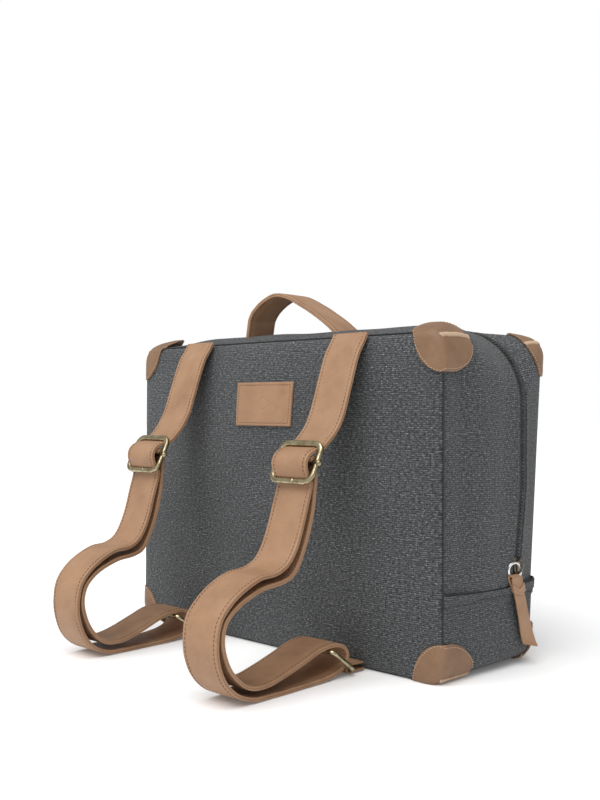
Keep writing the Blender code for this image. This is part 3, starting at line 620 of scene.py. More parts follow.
def thin_shade_cord(name, line, radius, body):
    """A dark cord along an open run of points: painted shade, laid in the crease above the hem's lip."""
    bm = bmesh.new()
    grid = []
    for point, along in zip(line, along_route(line)):
        first = along.orthogonal().normalized()
        second = along.cross(first)
        grid.append([bm.verts.new(point + (first * math.cos(a) + second * math.sin(a)) * radius)
                     for a in (math.pi / 3 * k for k in range(6))])
    skin(bm, grid)
    data = mesh_data(bm, name, outward=False)
    return place_piece(name, data, [DARK_THREAD_AND_SEAM_SHADE], body)


def bottom_band():
    """The bottom band, whose folded upper edge is sewn over the side band."""
    rows, cols = 46, 220
    outer, inner, cloth = [], [], []
    length = 2 * HEM_Z + 2 * HALF_W
    for j in range(rows + 1):
        t = j / rows
        swell = crown_side(t) * CROWN_SIDE
        line, back = [], []
        for i in range(cols + 1):
            x, z, nx, nz = cup_point(swell, 0.0, HEM_Z, i / cols)
            near_hem = max(0.0, 1 - abs(z - HEM_Z) / (11.0 * MM))
            sag = -0.0022 * math.sin(math.pi * t) * near_hem if t < 1 else 0.0
            y = BACK_Y + (front_y(z) - BACK_Y) * t
            side = abs(nx)
            calm = min(1.0, t * 6, (1 - t) * 6) * side
            lift = (2.3 * MM * min(1.0, near_hem * 3) ** 0.5 if near_hem > 0 else 0.0) * side
            lift -= 1.3 * MM * math.exp(-((z - HEM_Z + HEM_DEEP) / (0.9 * MM)) ** 2) * side
            push = ripple(x, y, z, GUSSET_RIPPLE, 2.2) * calm + lift
            push -= seam_tuck(min(y - BACK_Y, front_y(z) - y))
            rest = max(z + sag * side, floor_lift(x, y))
            line.append(Vector((x + nx * push, y, rest)))
            back.append(Vector((x + nx * (push - CANVAS_T), y, rest + (CANVAS_T if nz < -0.5 else 0.0))))
        outer.append(line)
        inner.append(back)
        cloth.append([(p.y + 0.3, i / cols * length) for i, p in enumerate(line)])
    seam_rows = []
    for first in (0, cols):
        step = 1 if first == 0 else -1
        hem = [line[first] for line in outer]
        sewn = [min((line[first + step * k] for k in range(14)), key=lambda p: abs(p.z - HEM_Z + HEM_DEEP))
                for line in outer]
        side = Vector((1.0 if first == 0 else -1.0, 0.0, 0.0))
        seam_rows.append(([p + side * 0.2 * MM for p in sewn[2:-2]], lambda _m, _a, _g, side=side: side))
        # a dark cord just above each hem's folded lip: painted shade of its crease
        hem_shade_points = [p + Vector((-side.x * 1.2 * MM, 0.0, 0.5 * MM)) for p in hem]
        thin_shade_cord("hem_shade_line_right" if first == 0 else "hem_shade_line_left", hem_shade_points, 0.6 * MM, "root")
    stitches("hem_stitches", seam_rows, DARK_THREAD_AND_SEAM_SHADE, "root", 2.2 * MM, 0.25 * MM, 3.2 * MM)
    data = sheet_mesh("canvas_gusset_bottom", outer, inner, cloth)
    place_piece("canvas_gusset_bottom", data, [CANVAS], "root", ("bottom_gusset",))


def rounded_walk(half_w, half_h, bend, count):
    """Evenly spaced (across, up, angle) round a rounded rectangle about its middle, counter-clockwise."""
    wide, tall, quarter = 2 * (half_w - bend), 2 * (half_h - bend), bend * math.pi / 2
    total = 2 * (wide + tall) + 4 * quarter
    places = []
    for k in range(count):
        walked = total * k / count
        a, b, angle = half_w, -(half_h - bend), 0.0
        for length, turns in ((tall, False), (quarter, True), (wide, False), (quarter, True)) * 2:
            step = min(walked, length)
            if turns:
                turn = step / bend
                a -= bend * (math.cos(angle) - math.cos(angle + turn))
                b += bend * (math.sin(angle + turn) - math.sin(angle))
                angle += turn
            else:
                a -= math.sin(angle) * step
                b += math.cos(angle) * step
            walked -= step
            if walked <= 0:
                break
        places.append((a, b, angle))
    return places


def rounded_rect(half_w, low, high, radius, count):
    middle = (low + high) / 2
    return [(a, middle + b) for a, b, _angle in rounded_walk(half_w, (high - low) / 2, radius, count)]


def dome(x, z):
    across = max(0.0, 1 - (x / HALF_W) ** 2)
    up = max(0.0, 1 - ((z - PANEL_TOP / 2) / (PANEL_TOP / 2)) ** 2)
    return BULGE * (across * up) ** 0.6


def inside_rim(x, z):
    """Distance from the panel's rim."""
    qx = abs(x) - (HALF_W - CORNER_R)
    qz = abs(z - PANEL_TOP / 2) - (PANEL_TOP / 2 - CORNER_R)
    outside = math.hypot(max(qx, 0.0), max(qz, 0.0)) + min(max(qx, qz), 0.0)
    return CORNER_R - outside


def rim_roll(rim):
    """How far a panel turns in towards its seam, at a distance from its rim."""
    return 2.4 * MM * max(0.0, 1 - rim / (3.6 * MM)) ** 2 + 0.6 * MM * max(0.0, 1 - rim / (9 * MM)) ** 2


def back_face(x, z):
    rim = inside_rim(x, z)
    calm = min(1.0, max(0.0, rim / (16 * MM)))
    return BACK_Y - 1.2 * MM - dome(x, z) - ripple(x, 0.0, z, 2.0 * MM, 6.0) * calm + rim_roll(rim)


def front_face(x, z):
    rim = inside_rim(x, z)
    calm = min(1.0, max(0.0, rim / (16 * MM)))
    puff = 2.2 * MM * min(1.0, max(0.0, rim / (45 * MM)))
    return front_y(z) + 1.2 * MM + puff + ripple(x, 9.0, z, 1.8 * MM, 3.0) * calm - rim_roll(rim)


def panel(name, nodes, face, inwards, body, rings=50, count=340):
    """A panel from its seam inwards; face gives y of its outer side, inwards the way its thickness goes."""
    outline = rounded_rect(HALF_W - 0.5 * MM, 0.7 * MM, PANEL_TOP - 0.5 * MM, CORNER_R, count)
    middle = PANEL_TOP / 2
    outer, inner, cloth = [], [], []
    for j in range(rings + 1):
        size = 1 - (j / rings) ** 1.15 * 0.995
        row = [(x * size, middle + (z - middle) * size) for x, z in outline]
        outer.append([Vector((x, face(x, z), z)) for x, z in row])
        inner.append([Vector((x, face(x, z) + inwards * PANEL_T, z)) for x, z in row])
        cloth.append([(x + 0.5, z) for x, z in row])
    data = sheet_mesh(name, outer, inner, cloth, wrap=True)
    return place_piece(name, data, [CANVAS], body, nodes)


def panels():
    panel("canvas_back_panel", ("back_panel",), back_face, 1, "root")
    fold_blend(panel("canvas_front_panel", ("front_panel_upper", "front_panel_lower"), front_face, -1, None))


# ---- Zip ----------------------------------------------------------------------------------------
TAPE_T = 1.0 * MM
TOOTH_PITCH = 2.5 * MM


def tape_point(share, low_z, share_at, lift=0.0):
    return arch_point(corner_radius(share_at), CROWN_TOP * crown(share_at),
                      CROWN_SIDE * crown_side(share_at), -lift, low_z, share)


def tape_half(name, nodes, body, side, low_z):
    """Half of the zip's tape; side is -1 behind the chain and +1 in front of it."""
    cols, rows = 300, 5
    outer, inner, cloth = [], [], []
    length = 2 * (PANEL_TOP - low_z) + 2 * HALF_W
    for j in range(rows + 1):
        off = side * (0.35 * MM + (TAPE_HALF + 0.8 * MM) * j / rows)
        at = ZIP_SHARE + (ZIP_SHARE_HIGH - ZIP_SHARE) * off / TAPE_HALF
        line, back, places = [], [], []
        for i in range(cols + 1):
            share = i / cols
            x, z, nx, nz = tape_point(share, low_z, at, -0.45 * MM if j == rows else 0.25 * MM)
            y = zip_y(z) + off
            line.append(Vector((x, y, z)))
            back.append(Vector((x - nx * TAPE_T, y, z - nz * TAPE_T)))
            places.append((y, share * length))
        outer.append(line)
        inner.append(back)
        cloth.append(places)
    data = sheet_mesh(name, outer, inner, cloth)
    return place_piece(name, data, [TAPE], body, nodes)


def add_box(bm, center, along, across, out, size_along, size_across, size_out, pinch=1.0, material=0):
    """A small block; pinch narrows its outer face."""
    corners = []
    for w, squeeze in ((-0.5, 1.0), (0.5, pinch)):
        for a, b in ((-0.5, -0.5), (0.5, -0.5), (0.5, 0.5), (-0.5, 0.5)):
            corners.append(bm.verts.new(center + along * (a * size_along * squeeze)
                                        + across * (b * size_across * squeeze) + out * (w * size_out)))
    for face in ((0, 3, 2, 1), (4, 5, 6, 7), (0, 1, 5, 4), (1, 2, 6, 5), (2, 3, 7, 6), (3, 0, 4, 7)):
        bm.faces.new([corners[k] for k in face]).material_index = material
    return corners


def zip_route(low_z):
    """The chain's line, as (point, outward side), evenly sampled from the lower right end to the left one."""
    places = []
    for i in range(1600):
        x, z, nx, nz = tape_point(i / 1599, low_z, ZIP_SHARE, 0.4 * MM)
        places.append((Vector((x, zip_y(z), z)), Vector((nx, 0.0, nz)).normalized()))
    return places


def spaced(places, pitch, start=0.0):
    """Evenly spaced (point, direction, outward side) along a route of (point, outward side)."""
    found, carried = [], start
    for (a, out_a), (b, out_b) in zip(places, places[1:]):
        span = (b - a).length
        while carried < span:
            share = carried / span
            found.append((a.lerp(b, share), (b - a).normalized(), out_a.lerp(out_b, share).normalized()))
            carried += pitch
        carried -= span
    return found


def teeth(name, body, side, low_z):
    """One side's row of teeth: a rounded head that bites over the middle and a clamp on the tape."""
    bm = bmesh.new()
    start = 0.0 if side < 0 else TOOTH_PITCH / 2
    for point, along, out in spaced(zip_route(low_z), TOOTH_PITCH, start):
        across = along.cross(out).normalized()
        if across.y * side < 0:
            across = -across
        size = 1.0 + rng.uniform(-0.04, 0.04)
        add_box(bm, point + across * 1.35 * MM, along, across, out,
                1.35 * MM * size, 2.5 * MM, 1.5 * MM, 0.72)
        add_box(bm, point + across * 0.1 * MM, along, across, out, 1.5 * MM * size, 1.5 * MM, 1.3 * MM, 0.70)
    bmesh.ops.bevel(bm, geom=bm.edges[:], offset=0.18 * MM, segments=1, affect="EDGES")
    data = mesh_data(bm, name, outward=False)
    return place_piece(name, data, [TEETH], body, ())


def zip_stitching(name, body, side, low_z, look):
    """Topstitching beside the tape."""
    row = []
    at = ZIP_SHARE_LOW - 0.012 if side < 0 else ZIP_SHARE_HIGH + 0.02
    y_off = side * (TAPE_HALF + 1.9 * MM)
    for i in range(900):
        x, z, _nx, _nz = tape_point(i / 899, low_z, at, 0.15 * MM)
        row.append(Vector((x, zip_y(z) + y_off, z)))

    def outward(middle, _along, _gone):
        if middle.z > PANEL_TOP - 20 * MM:
            return Vector((middle.x * 0.5, 0.0, middle.z - PANEL_TOP / 2)).normalized()
        return Vector((math.copysign(1.0, middle.x), 0.0, 0.0))
    return stitches(name, [(row, outward)], look, body, 2.0 * MM, 0.17 * MM, 3.0 * MM)


def build_zip():
    tape_half("zip_tape_rear_half", ("zip_tape_rear",), "root", -1, 58.5 * MM)
    tape_half("zip_tape_cover_half", ("zip_tape_cover",), "cover", 1, 62.5 * MM)
    teeth("zip_teeth_rear", "root", -1, 63 * MM)
    teeth("zip_teeth_cover", "cover", 1, 64 * MM)
    zip_stitching("zip_stitching_rear", "root", -1, 64 * MM, DARK_THREAD_AND_SEAM_SHADE)


def seam_shade_cord(name, y_at, inset, body):
    """A dark cord round a panel at its seam: painted shade of the seam's deep crease."""
    bm = bmesh.new()
    sides, radius = 6, 0.55 * MM
    outline = rounded_rect(HALF_W - inset, 1.2 * MM, PANEL_TOP - inset, CORNER_R, 420)
    grid = []
    for x, z in outline:
        out = Vector((x * 0.6, 0.0, z - PANEL_TOP / 2)).normalized()
        turns = (2 * math.pi * k / sides for k in range(sides))
        around = (out * math.cos(a) + Vector((0.0, math.sin(a), 0.0)) for a in turns)
        grid.append([bm.verts.new(Vector((x, y_at(z), z)) + way * radius) for way in around])
    skin(bm, grid + grid[:1])
    data = mesh_data(bm, name, outward=False)
    return place_piece(name, data, [DARK_THREAD_AND_SEAM_SHADE], body)


def build_body():
    # dark cords along both panels' seams: painted shade
    seam_shade_cord("painted_seam_shade_back", lambda z: BACK_Y - 0.1 * MM, 0.35 * MM, "root")
    fold_blend(seam_shade_cord("painted_seam_shade_front", lambda z: front_y(z) + 0.1 * MM, 0.35 * MM, None))
    rear_band()
    cover_band()
    bottom_band()
    panels()
    build_zip()


# ---- Leather strips -----------------------------------------------------------------------------
def strip_profile(width, thickness):
    """Half outline of a two-layer strip's cross-section as (across, out, is_edge), from the middle to the
    right edge's middle line: a slight pillow, a dip along the stitch line, a rounded rim and a groove."""
    w, t = width / 2, thickness / 2
    return [(0.0, t + 0.16 * MM, False), (0.35 * w, t + 0.15 * MM, False), (0.62 * w, t + 0.11 * MM, False),
            (w - 3.6 * MM, t + 0.06 * MM, False), (w - 2.9 * MM, t - 0.05 * MM, False),
            (w - 2.5 * MM, t - 0.24 * MM, False), (w - 2.1 * MM, t - 0.04 * MM, False),
            (w - 1.3 * MM, t + 0.05 * MM, False), (w - 0.5 * MM, t - 0.02 * MM, False),
            (w - 0.12 * MM, t - 0.26 * MM, True), (w, 0.55 * t, True), (w - 0.04 * MM, 0.22 * t, True),
            (w - 0.42 * MM, 0.04 * t, True)]


def strip_outline(width, thickness):
    half = strip_profile(width, thickness)
    right = half + [(a, -b, edge) for a, b, edge in reversed(half)]
    return right + [(-a, b, edge) for a, b, edge in reversed(right[1:-1])]


def strip(name, route, across, width, thickness, body, nodes=(), waves=0.25 * MM,
          looks=(HIDE, CUT_EDGE), seed=0.0):
    """A leather strip along a route; across is its sideways direction. Its outer side is along x across."""
    outline = strip_outline(width, thickness)
    bm = bmesh.new()
    grid = []
    gone = 0.0
    for i, (point, along) in enumerate(zip(route, along_route(route))):
        if i:
            gone += (point - route[i - 1]).length
        out = along.cross(across).normalized()
        ring = []
        for a, b, _edge in outline:
            swell = noise.noise(Vector((gone * 55 + seed, 3.0 if a > 0 else 9.0, seed))) * 0.35 * MM
            at = a + (swell if abs(a) > width * 0.42 else 0.0) * (1 if a > 0 else -1)
            lift = waves * noise.noise(Vector((gone * 60, a * 45, seed)))
            lift += 0.4 * waves * noise.noise(Vector((gone * 330, a * 60, seed + 5)))
            ring.append(bm.verts.new(point + across * at + out * (b + lift)))
        grid.append(ring)

    def slot_of(k, n):
        if outline[k][2] and outline[n][2]:
            return 1
        # a third look, given only for the handle, darkens the strip's inner side as painted shade
        return 2 if len(looks) > 2 and outline[k][1] + outline[n][1] < 0 else 0

    skin(bm, grid, slot_of)
    for ring in (grid[0], grid[-1]):
        bm.faces.new(ring).material_index = 1
    data = mesh_data(bm, name)
    return place_piece(name, data, looks, body, nodes)


def edge_rows(route, across, width, thickness, inset=2.5 * MM, faces=(1, -1)):
    """Stitch rows near both edges, on the outer side, the inner side or both."""
    directions = along_route(route)
    rows = []
    for face in faces:
        for side in (-1, 1):
            row = []
            for point, along in zip(route, directions):
                out = along.cross(across).normalized()
                row.append(point + across * (side * (width / 2 - inset))
                           + out * (face * (thickness / 2 - 0.10 * MM)))
            rows.append((row, lambda _m, along, _g, face=face: along.cross(across).normalized() * face))
    return rows


# ---- Shoulder straps ----------------------------------------------------------------------------
# routes as (y, z) in millimetres, and weaves as (share of the frame, millimetres out)
STRAPS = {"right": (82.6 * MM, 1.0), "left": (-82.6 * MM, 0.88)}
REACH_FROM_Y = -110 * MM
BUCKLE_DIR = Vector((0.0, -0.447, -0.894))
BUCKLE_OUT = Vector((0.0, -0.894, 0.447))
BUCKLE_HALF_H, BUCKLE_HALF_W = 14.0 * MM, 18.4 * MM
SEWN_TOP = ((-66.0, 239.9), (-70.0, 233.5), (-73.5, 228.5), (-76.0, 224.2))
UPPER = ((-79.5, 215.5), (-82.8, 206.0), (-86.8, 195.0), (-92.0, 181.5), (-99.0, 170.5))
OUTER_LOOP = ((-128.3, 121.0), (-135.5, 100.0), (-144.5, 85.5), (-156.0, 79.5), (-171.0, 77.8),
              (-186.5, 71.5), (-198.0, 63.7), (-205.0, 54.5), (-207.3, 43.0), (-206.2, 31.0), (-201.0, 18.5),
              (-191.0, 8.5), (-178.0, 3.2), (-164.0, 1.9), (-140.0, 1.8), (-115.0, 2.2), (-98.5, 4.3),
              (-89.5, 8.0), (-86.2, 13.8), (-88.8, 19.8), (-96.0, 23.2), (-104.0, 24.0), (-115.0, 22.5), (-129.0, 18.2),
              (-148.0, 12.5), (-165.0, 9.2), (-180.6, 11.0), (-193.0, 20.5), (-200.0, 32.0), (-202.6, 44.0),
              (-198.8, 55.5), (-186.0, 65.0), (-168.0, 71.2), (-150.0, 73.5), (-139.0, 79.0), (-129.0, 97.0),
              (-122.2, 119.0))
WEAVE_OUT = ((-1.0, -5.3), (-0.66, 0.3), (-0.34, 4.9), (0.0, 6.7), (0.36, 5.4), (0.70, 0.6), (1.0, -5.3))
WEAVE_BACK = ((1.0, -9.2), (0.55, -7.0), (0.22, -4.4), (-0.06, -3.4), (-0.215, -1.2), (-0.205, 1.4),
              (-0.06, 3.2))
ACROSS = Vector((1.0, 0.0, 0.0))


def reached(y, reach):
    return y if y > REACH_FROM_Y else REACH_FROM_Y + (y - REACH_FROM_Y) * reach


def buckle_middle(x, reach):
    return Vector((x, reached(-122.5 * MM, reach), 149.5 * MM))


def strap_route(x, reach, steps):
    def bare(points):
        return [Vector((x, reached(y * MM, reach), z * MM)) for y, z in points]

    def woven(points):
        middle = buckle_middle(x, reach)
        return [middle + BUCKLE_DIR * (share * BUCKLE_HALF_H) + BUCKLE_OUT * (rise * MM)
                for share, rise in points]
    whole = bare(SEWN_TOP + UPPER) + woven(WEAVE_OUT) + bare(OUTER_LOOP) + woven(WEAVE_BACK)
    return smooth_route(whole, steps)


def strap_blend(piece):
    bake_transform(piece)


def strap_bars(x, reach, route):
    """Stitching across the strap where its end is sewn down round the pin."""
    tail = [i for i, p in enumerate(route)
            if i > len(route) // 2 and (p - buckle_middle(x, reach)).length < 20 * MM]
    at = tail[0]
    along = (route[at + 1] - route[at - 1]).normalized()
    out = along.cross(ACROSS).normalized()
    row = [route[at] - along * 6 * MM + ACROSS * (w * MM) - out * (STRAP_T / 2 - 0.1 * MM)
           for w in range(-13, 14)]
    return [(row, lambda _m, _a, _g: -out)]


def straps():
    for side, (x, reach) in STRAPS.items():
        seed = 11.0 if side == "right" else 27.0
        route = strap_route(x, reach, 7)
        piece = strip("leather_strap_" + side, route, ACROSS, STRAP_W, STRAP_T, None,
                      ("strap_top_" + side, "strap_" + side), seed=seed)
        strap_blend(piece)
        rows = edge_rows(route, ACROSS, STRAP_W, STRAP_T) + strap_bars(x, reach, route)
        sewn = stitches("strap_stitches_" + side, rows, THREAD, None, 1.9 * MM, 0.29 * MM, 2.8 * MM)
        strap_blend(sewn)


# ---- Ring tabs ----------------------------------------------------------------------------------
RING_TAB_BAR = Vector((0.0, -82.5 * MM, 4.2 * MM))
RING_STRAP_BAR = Vector((0.0, -104.0 * MM, 20.0 * MM))
RING_WIRE_R = 1.6 * MM
TAB_W, TAB_T = 28.5 * MM, 1.2 * MM


def tab_route(x):
    bar = RING_TAB_BAR + Vector((x, 0.0, 0.0))
    reach = RING_WIRE_R + 1.0 * MM
    points = [Vector((x, -66.5 * MM, 5.9 * MM)), Vector((x, -73.0 * MM, 6.4 * MM))]
    for i in range(9):
        angle = math.radians(75 + 210 * i / 8)
        points.append(bar + Vector((0.0, reach * math.cos(angle), reach * math.sin(angle))))
    points += [Vector((x, -74.0 * MM, 1.75 * MM)), Vector((x, -66.0 * MM, 1.75 * MM))]
    return smooth_route(points, 4)


def ring_tabs():
    for side, (x, _reach) in STRAPS.items():
        route = tab_route(x)
        piece = strip("leather_ring_tab_" + side, route, ACROSS, TAB_W, TAB_T, None,
                      ("ring_tab_" + side,), waves=0.1 * MM, seed=40.0 + x)
        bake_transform(piece)
        rows = edge_rows(route, ACROSS, TAB_W, TAB_T, 2.5 * MM, (1,))
        sewn = stitches("ring_tab_stitches_" + side, rows, THREAD, None, 1.8 * MM, 0.2 * MM, 2.6 * MM)
        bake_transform(sewn)


# ---- Carry handle -------------------------------------------------------------------------------
HANDLE_Y, HANDLE_W, HANDLE_T = -33.0 * MM, 29.5 * MM, 3.0 * MM
HANDLE_LINE = ((-46.5, 240.5), (-46.0, 245.0), (-45.2, 250.5), (-44.2, 256.0), (-43.0, 260.0), (-38.5, 266.0),
               (-28.5, 272.8), (-15.0, 277.2), (-1.0, 274.8), (15.0, 267.2), (31.0, 258.2), (42.0, 251.0),
               (49.0, 245.5), (54.0, 241.0))


def handle():
    route = smooth_route([Vector((x * MM, HANDLE_Y, z * MM)) for x, z in HANDLE_LINE], 7)
    across = Vector((0.0, -1.0, 0.0))
    # the handle's inner side takes the darker hide: painted shade
    piece = strip("leather_handle", route, across, HANDLE_W, HANDLE_T, None,
                  ("carry_handle", "handle_foot_left", "handle_foot_right"),
                  looks=(HIDE, CUT_EDGE, HIDE_PAINTED_SHADE), seed=61.0)
    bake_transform(piece)
    rows = edge_rows(route, across, HANDLE_W, HANDLE_T)
    sewn = stitches("handle_stitches", rows, THREAD, None, 1.9 * MM, 0.29 * MM, 2.8 * MM)
    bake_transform(sewn)


# ---- Corner patches -----------------------------------------------------------------------------
PATCH_HALF, PATCH_DEEP, PATCH_SHALLOW = 25.0 * MM, 32.0 * MM, 17.0 * MM
PATCH_RIM_X, PATCH_RIM_Z = 22.8 * MM, 28.0 * MM
PATCH_LOW = 9.0 * MM
PATCH_T = 1.3 * MM
PATCH_ROOM = 0.5 * MM
FRONT_SPAN_TOP, FRONT_SPAN_LOW, BACK_SPAN = 283 * MM, 108 * MM, 110.5 * MM   # gusset for a whole share
PATCH_ROWS_OVER, PATCH_ROWS_FACE, PATCH_COLS = 30, 22, 48


def patch_side_point(top, front, around, depth):
    """A point over the gusset near a right corner, around from its middle and depth in from the seam."""
    if front:
        t = 1 - depth / (FRONT_SPAN_TOP if top else FRONT_SPAN_LOW)
    else:
        t = depth / BACK_SPAN
    if top:
        radius = corner_radius(t)
        low_z = REAR_BAND_LOW
        side, quarter = PANEL_TOP - radius - low_z, radius * math.pi / 2
        total = 2 * (side + quarter + HALF_W - radius)
        x, z, nx, nz = arch_point(radius, CROWN_TOP * crown(t), CROWN_SIDE * crown_side(t),
                                  -PATCH_ROOM, low_z,
                                  (side + quarter / 2 + around) / total)
        seed = 4.1 if front else 1.3
    else:
        side, quarter = HEM_Z - CORNER_R, CORNER_R * math.pi / 2
        total = 2 * (side + quarter + HALF_W - CORNER_R)
        x, z, nx, nz = cup_point(CROWN_SIDE * crown_side(t), 0.0, HEM_Z,
                                 (side + quarter / 2 + around) / total)
        x += nx * PATCH_ROOM
        seed = 2.2
    y = front_y(z) - depth if front else BACK_Y + depth
    band_t = (1 - t) / 0.12 if front and top else t / ZIP_SHARE_LOW if top else t
    push = ripple(x, y, z, GUSSET_RIPPLE, seed) * min(1.0, band_t * 6) * abs(nx if not top else 1.0)
    return Vector((x + nx * push, y, z + (nz * push if top else 0.0)))


def patch_face_point(top, front, share, inward):
    """A point over the panel: share runs along the rim and inward from the seam to the rim."""
    around = PATCH_HALF * (2 * share - 1)
    x0, z0 = patch_corner(around)
    if not top:
        z0 = PANEL_TOP - z0
    turn = math.radians(3 + 84 * share)
    x1 = HALF_W - PATCH_RIM_X * math.sin(turn)
    z1 = PANEL_TOP - PATCH_RIM_Z * math.cos(turn) if top else PATCH_RIM_Z * math.cos(turn)
    x, z = x0 + (x1 - x0) * inward, z0 + (z1 - z0) * inward
    if front:
        y = front_face(x, z) + PATCH_ROOM
    else:
        y = back_face(x, z) - PATCH_ROOM
    return Vector((x, y, z))


def patch_corner(around):
    """The panel's own rounded corner, at a distance from its middle."""
    quarter = CORNER_R * math.pi / 4
    if around > quarter:
        return HALF_W - CORNER_R - (around - quarter), PANEL_TOP
    if around < -quarter:
        return HALF_W, PANEL_TOP - CORNER_R + quarter + around
    angle = math.pi / 4 + around / CORNER_R
    return (HALF_W - CORNER_R + CORNER_R * math.cos(angle),
            PANEL_TOP - CORNER_R + CORNER_R * math.sin(angle))


def patch_grid(right, top, front):
    deep = PATCH_DEEP
    if front:
        deep = PATCH_SHALLOW if top else PATCH_LOW
    rows = []
    for j in range(PATCH_ROWS_OVER):
        away = math.cos(math.pi / 2 * j / PATCH_ROWS_OVER)
        half = PATCH_HALF * (1 - 0.985 * away ** 2.3) ** 0.5
        rows.append([patch_side_point(top, front, half * (2 * i / PATCH_COLS - 1), deep * away)
                     for i in range(PATCH_COLS + 1)])
    for j in range(PATCH_ROWS_FACE + 1):
        rows.append([patch_face_point(top, front, i / PATCH_COLS, j / PATCH_ROWS_FACE)
                     for i in range(PATCH_COLS + 1)])
    seam = PATCH_ROWS_OVER
    for _turn in range(5):
        held = [[p.copy() for p in row] for row in rows]
        for j in range(seam - 3, seam + 4):
            for i in range(PATCH_COLS + 1):
                soft = (held[j - 1][i] + held[j + 1][i]) / 2
                rows[j][i] = held[j][i].lerp(soft, 0.6)
    out_x = Vector((0.8 * MM, 0.0, 0.0))
    for j in range(seam - 4, seam + 5):
        for i in range(PATCH_COLS + 1):
            near = 1 - abs(j - seam) / 5
            sign = 1 if front else -1
            rise = (0.4 if top else 0.0) * MM
            rows[j][i] = rows[j][i] + (out_x * 0.6 + Vector((0.0, sign * 0.8 * MM, rise))) * near
    if not right:
        for row in rows:
            for p in row:
                p.x = -p.x
    return rows


def grid_normals(rows, middle):
    normals = []
    for j, row in enumerate(rows):
        line = []
        for i, p in enumerate(row):
            a = row[min(i + 1, len(row) - 1)] - row[max(i - 1, 0)]
            b = rows[min(j + 1, len(rows) - 1)][i] - rows[max(j - 1, 0)][i]
            n = a.cross(b)
            n = n.normalized() if n.length > 0 else (p - middle).normalized()
            line.append(n if n.dot(p - middle) > 0 else -n)
        normals.append(line)
    return normals


def patch_rim(rows):
    last = len(rows[0]) - 1
    right = [row[last] for row in rows]
    left = [row[0] for row in reversed(rows)]
    return rows[0][:] + right[1:] + list(reversed(rows[-1]))[1:] + left[1:]


def corner_words(right, top, front):
    return "_".join(("front" if front else "back", "top" if top else "bottom", "right" if right else "left"))


def corner_patch(name, right, top, front):
    rows = patch_grid(right, top, front)
    middle = Vector((0.0, 0.0, PANEL_TOP / 2))
    normals = grid_normals(rows, middle)
    rim = patch_rim(rows)
    seed = 3.0 + 7 * right + 13 * top + 29 * front
    outer, inner = [], []
    for row, out_row in zip(rows, normals):
        high, low = [], []
        for p, n in zip(row, out_row):
            away = min((p - q).length for q in rim)
            shape = min(1.0, away / (0.9 * MM))
            lift = PATCH_T * (0.45 + 0.55 * math.sqrt(max(0.0, 1 - (1 - shape) ** 2)))
            lift -= 0.16 * MM * math.exp(-((away - 1.9 * MM) / (0.45 * MM)) ** 2)
            lift += 0.35 * MM * noise.noise(p * 90 + Vector((seed, 0, 0))) * shape
            raised = p + n * lift
            lowered = p.copy()
            raised.z, lowered.z = max(raised.z, 0.15 * MM), max(lowered.z, 0.9 * MM)
            high.append(raised)
            low.append(lowered)
        outer.append(high)
        inner.append(low)
    data = sheet_mesh(name, outer, inner, edge_material=1)
    place = "corner_" + corner_words(right, top, front)
    body = "cover" if front and top else "root"
    piece = place_piece(name, data, [HIDE_DEEP, CUT_EDGE], body, (place,))
    sew_patch(name, outer, normals, body, right)
    return piece


def sew_patch(name, outer, normals, body, right):
    """The row of stitches inside the rim, and the whip-stitched dart from the corner to the deep end."""
    last = len(outer[0]) - 1
    line = []
    inset = 2
    for j in range(3, len(outer) - inset):
        line.append((outer[j][last - inset], normals[j][last - inset]))
    for i in range(last - inset, inset, -1):
        line.append((outer[-1 - inset][i], normals[-1 - inset][i]))
    for j in range(len(outer) - inset - 1, 2, -1):
        line.append((outer[j][inset], normals[j][inset]))
    spots = [p for p, _n in line if p.z > 1.2 * MM]

    def outward(middle, _along, _gone):
        return min(line, key=lambda item: (item[0] - middle).length)[1]
    rows = []
    run = []
    for p in spots:
        if run and (p - run[-1]).length > 6 * MM:
            rows.append((run, outward))
            run = []
        run.append(p)
    rows.append((run, outward))
    stitches(name + "_stitches", rows, THREAD_PALE, body, 1.5 * MM, 0.24 * MM, 2.3 * MM)
    bm = bmesh.new()
    mid = last // 2
    ridge = [(outer[j][mid], normals[j][mid]) for j in range(2, PATCH_ROWS_OVER + 1)]
    for k, (point, along, out) in enumerate(spaced(ridge, 0.85 * MM)):
        side = along.cross(out).normalized()
        turn = (side + along * (0.55 if k % 2 else 0.35) * (1 if right else -1)).normalized()
        jitter = side * rng.uniform(-0.25, 0.25) * MM
        add_stitch(bm, point + out * 0.45 * MM + jitter, turn, out, rng.uniform(3.4, 4.8) * MM, 0.48 * MM)
        bm.faces.ensure_lookup_table()
        for face in bm.faces[-22:]:
            face.material_index = k % 2
    data = mesh_data(bm, name + "_dart", outward=False)
    place_piece(name + "_dart", data, [THREAD_PALE, THREAD], body)


def patches():
    for right in (True, False):
        for top in (True, False):
            for front in (True, False):
                corner_patch("leather_corner_" + corner_words(right, top, front), right, top, front)


# ---- Label --------------------------------------------------------------------------------------
LABEL_W, LABEL_H, LABEL_T = 60.0 * MM, 34.0 * MM, 1.5 * MM


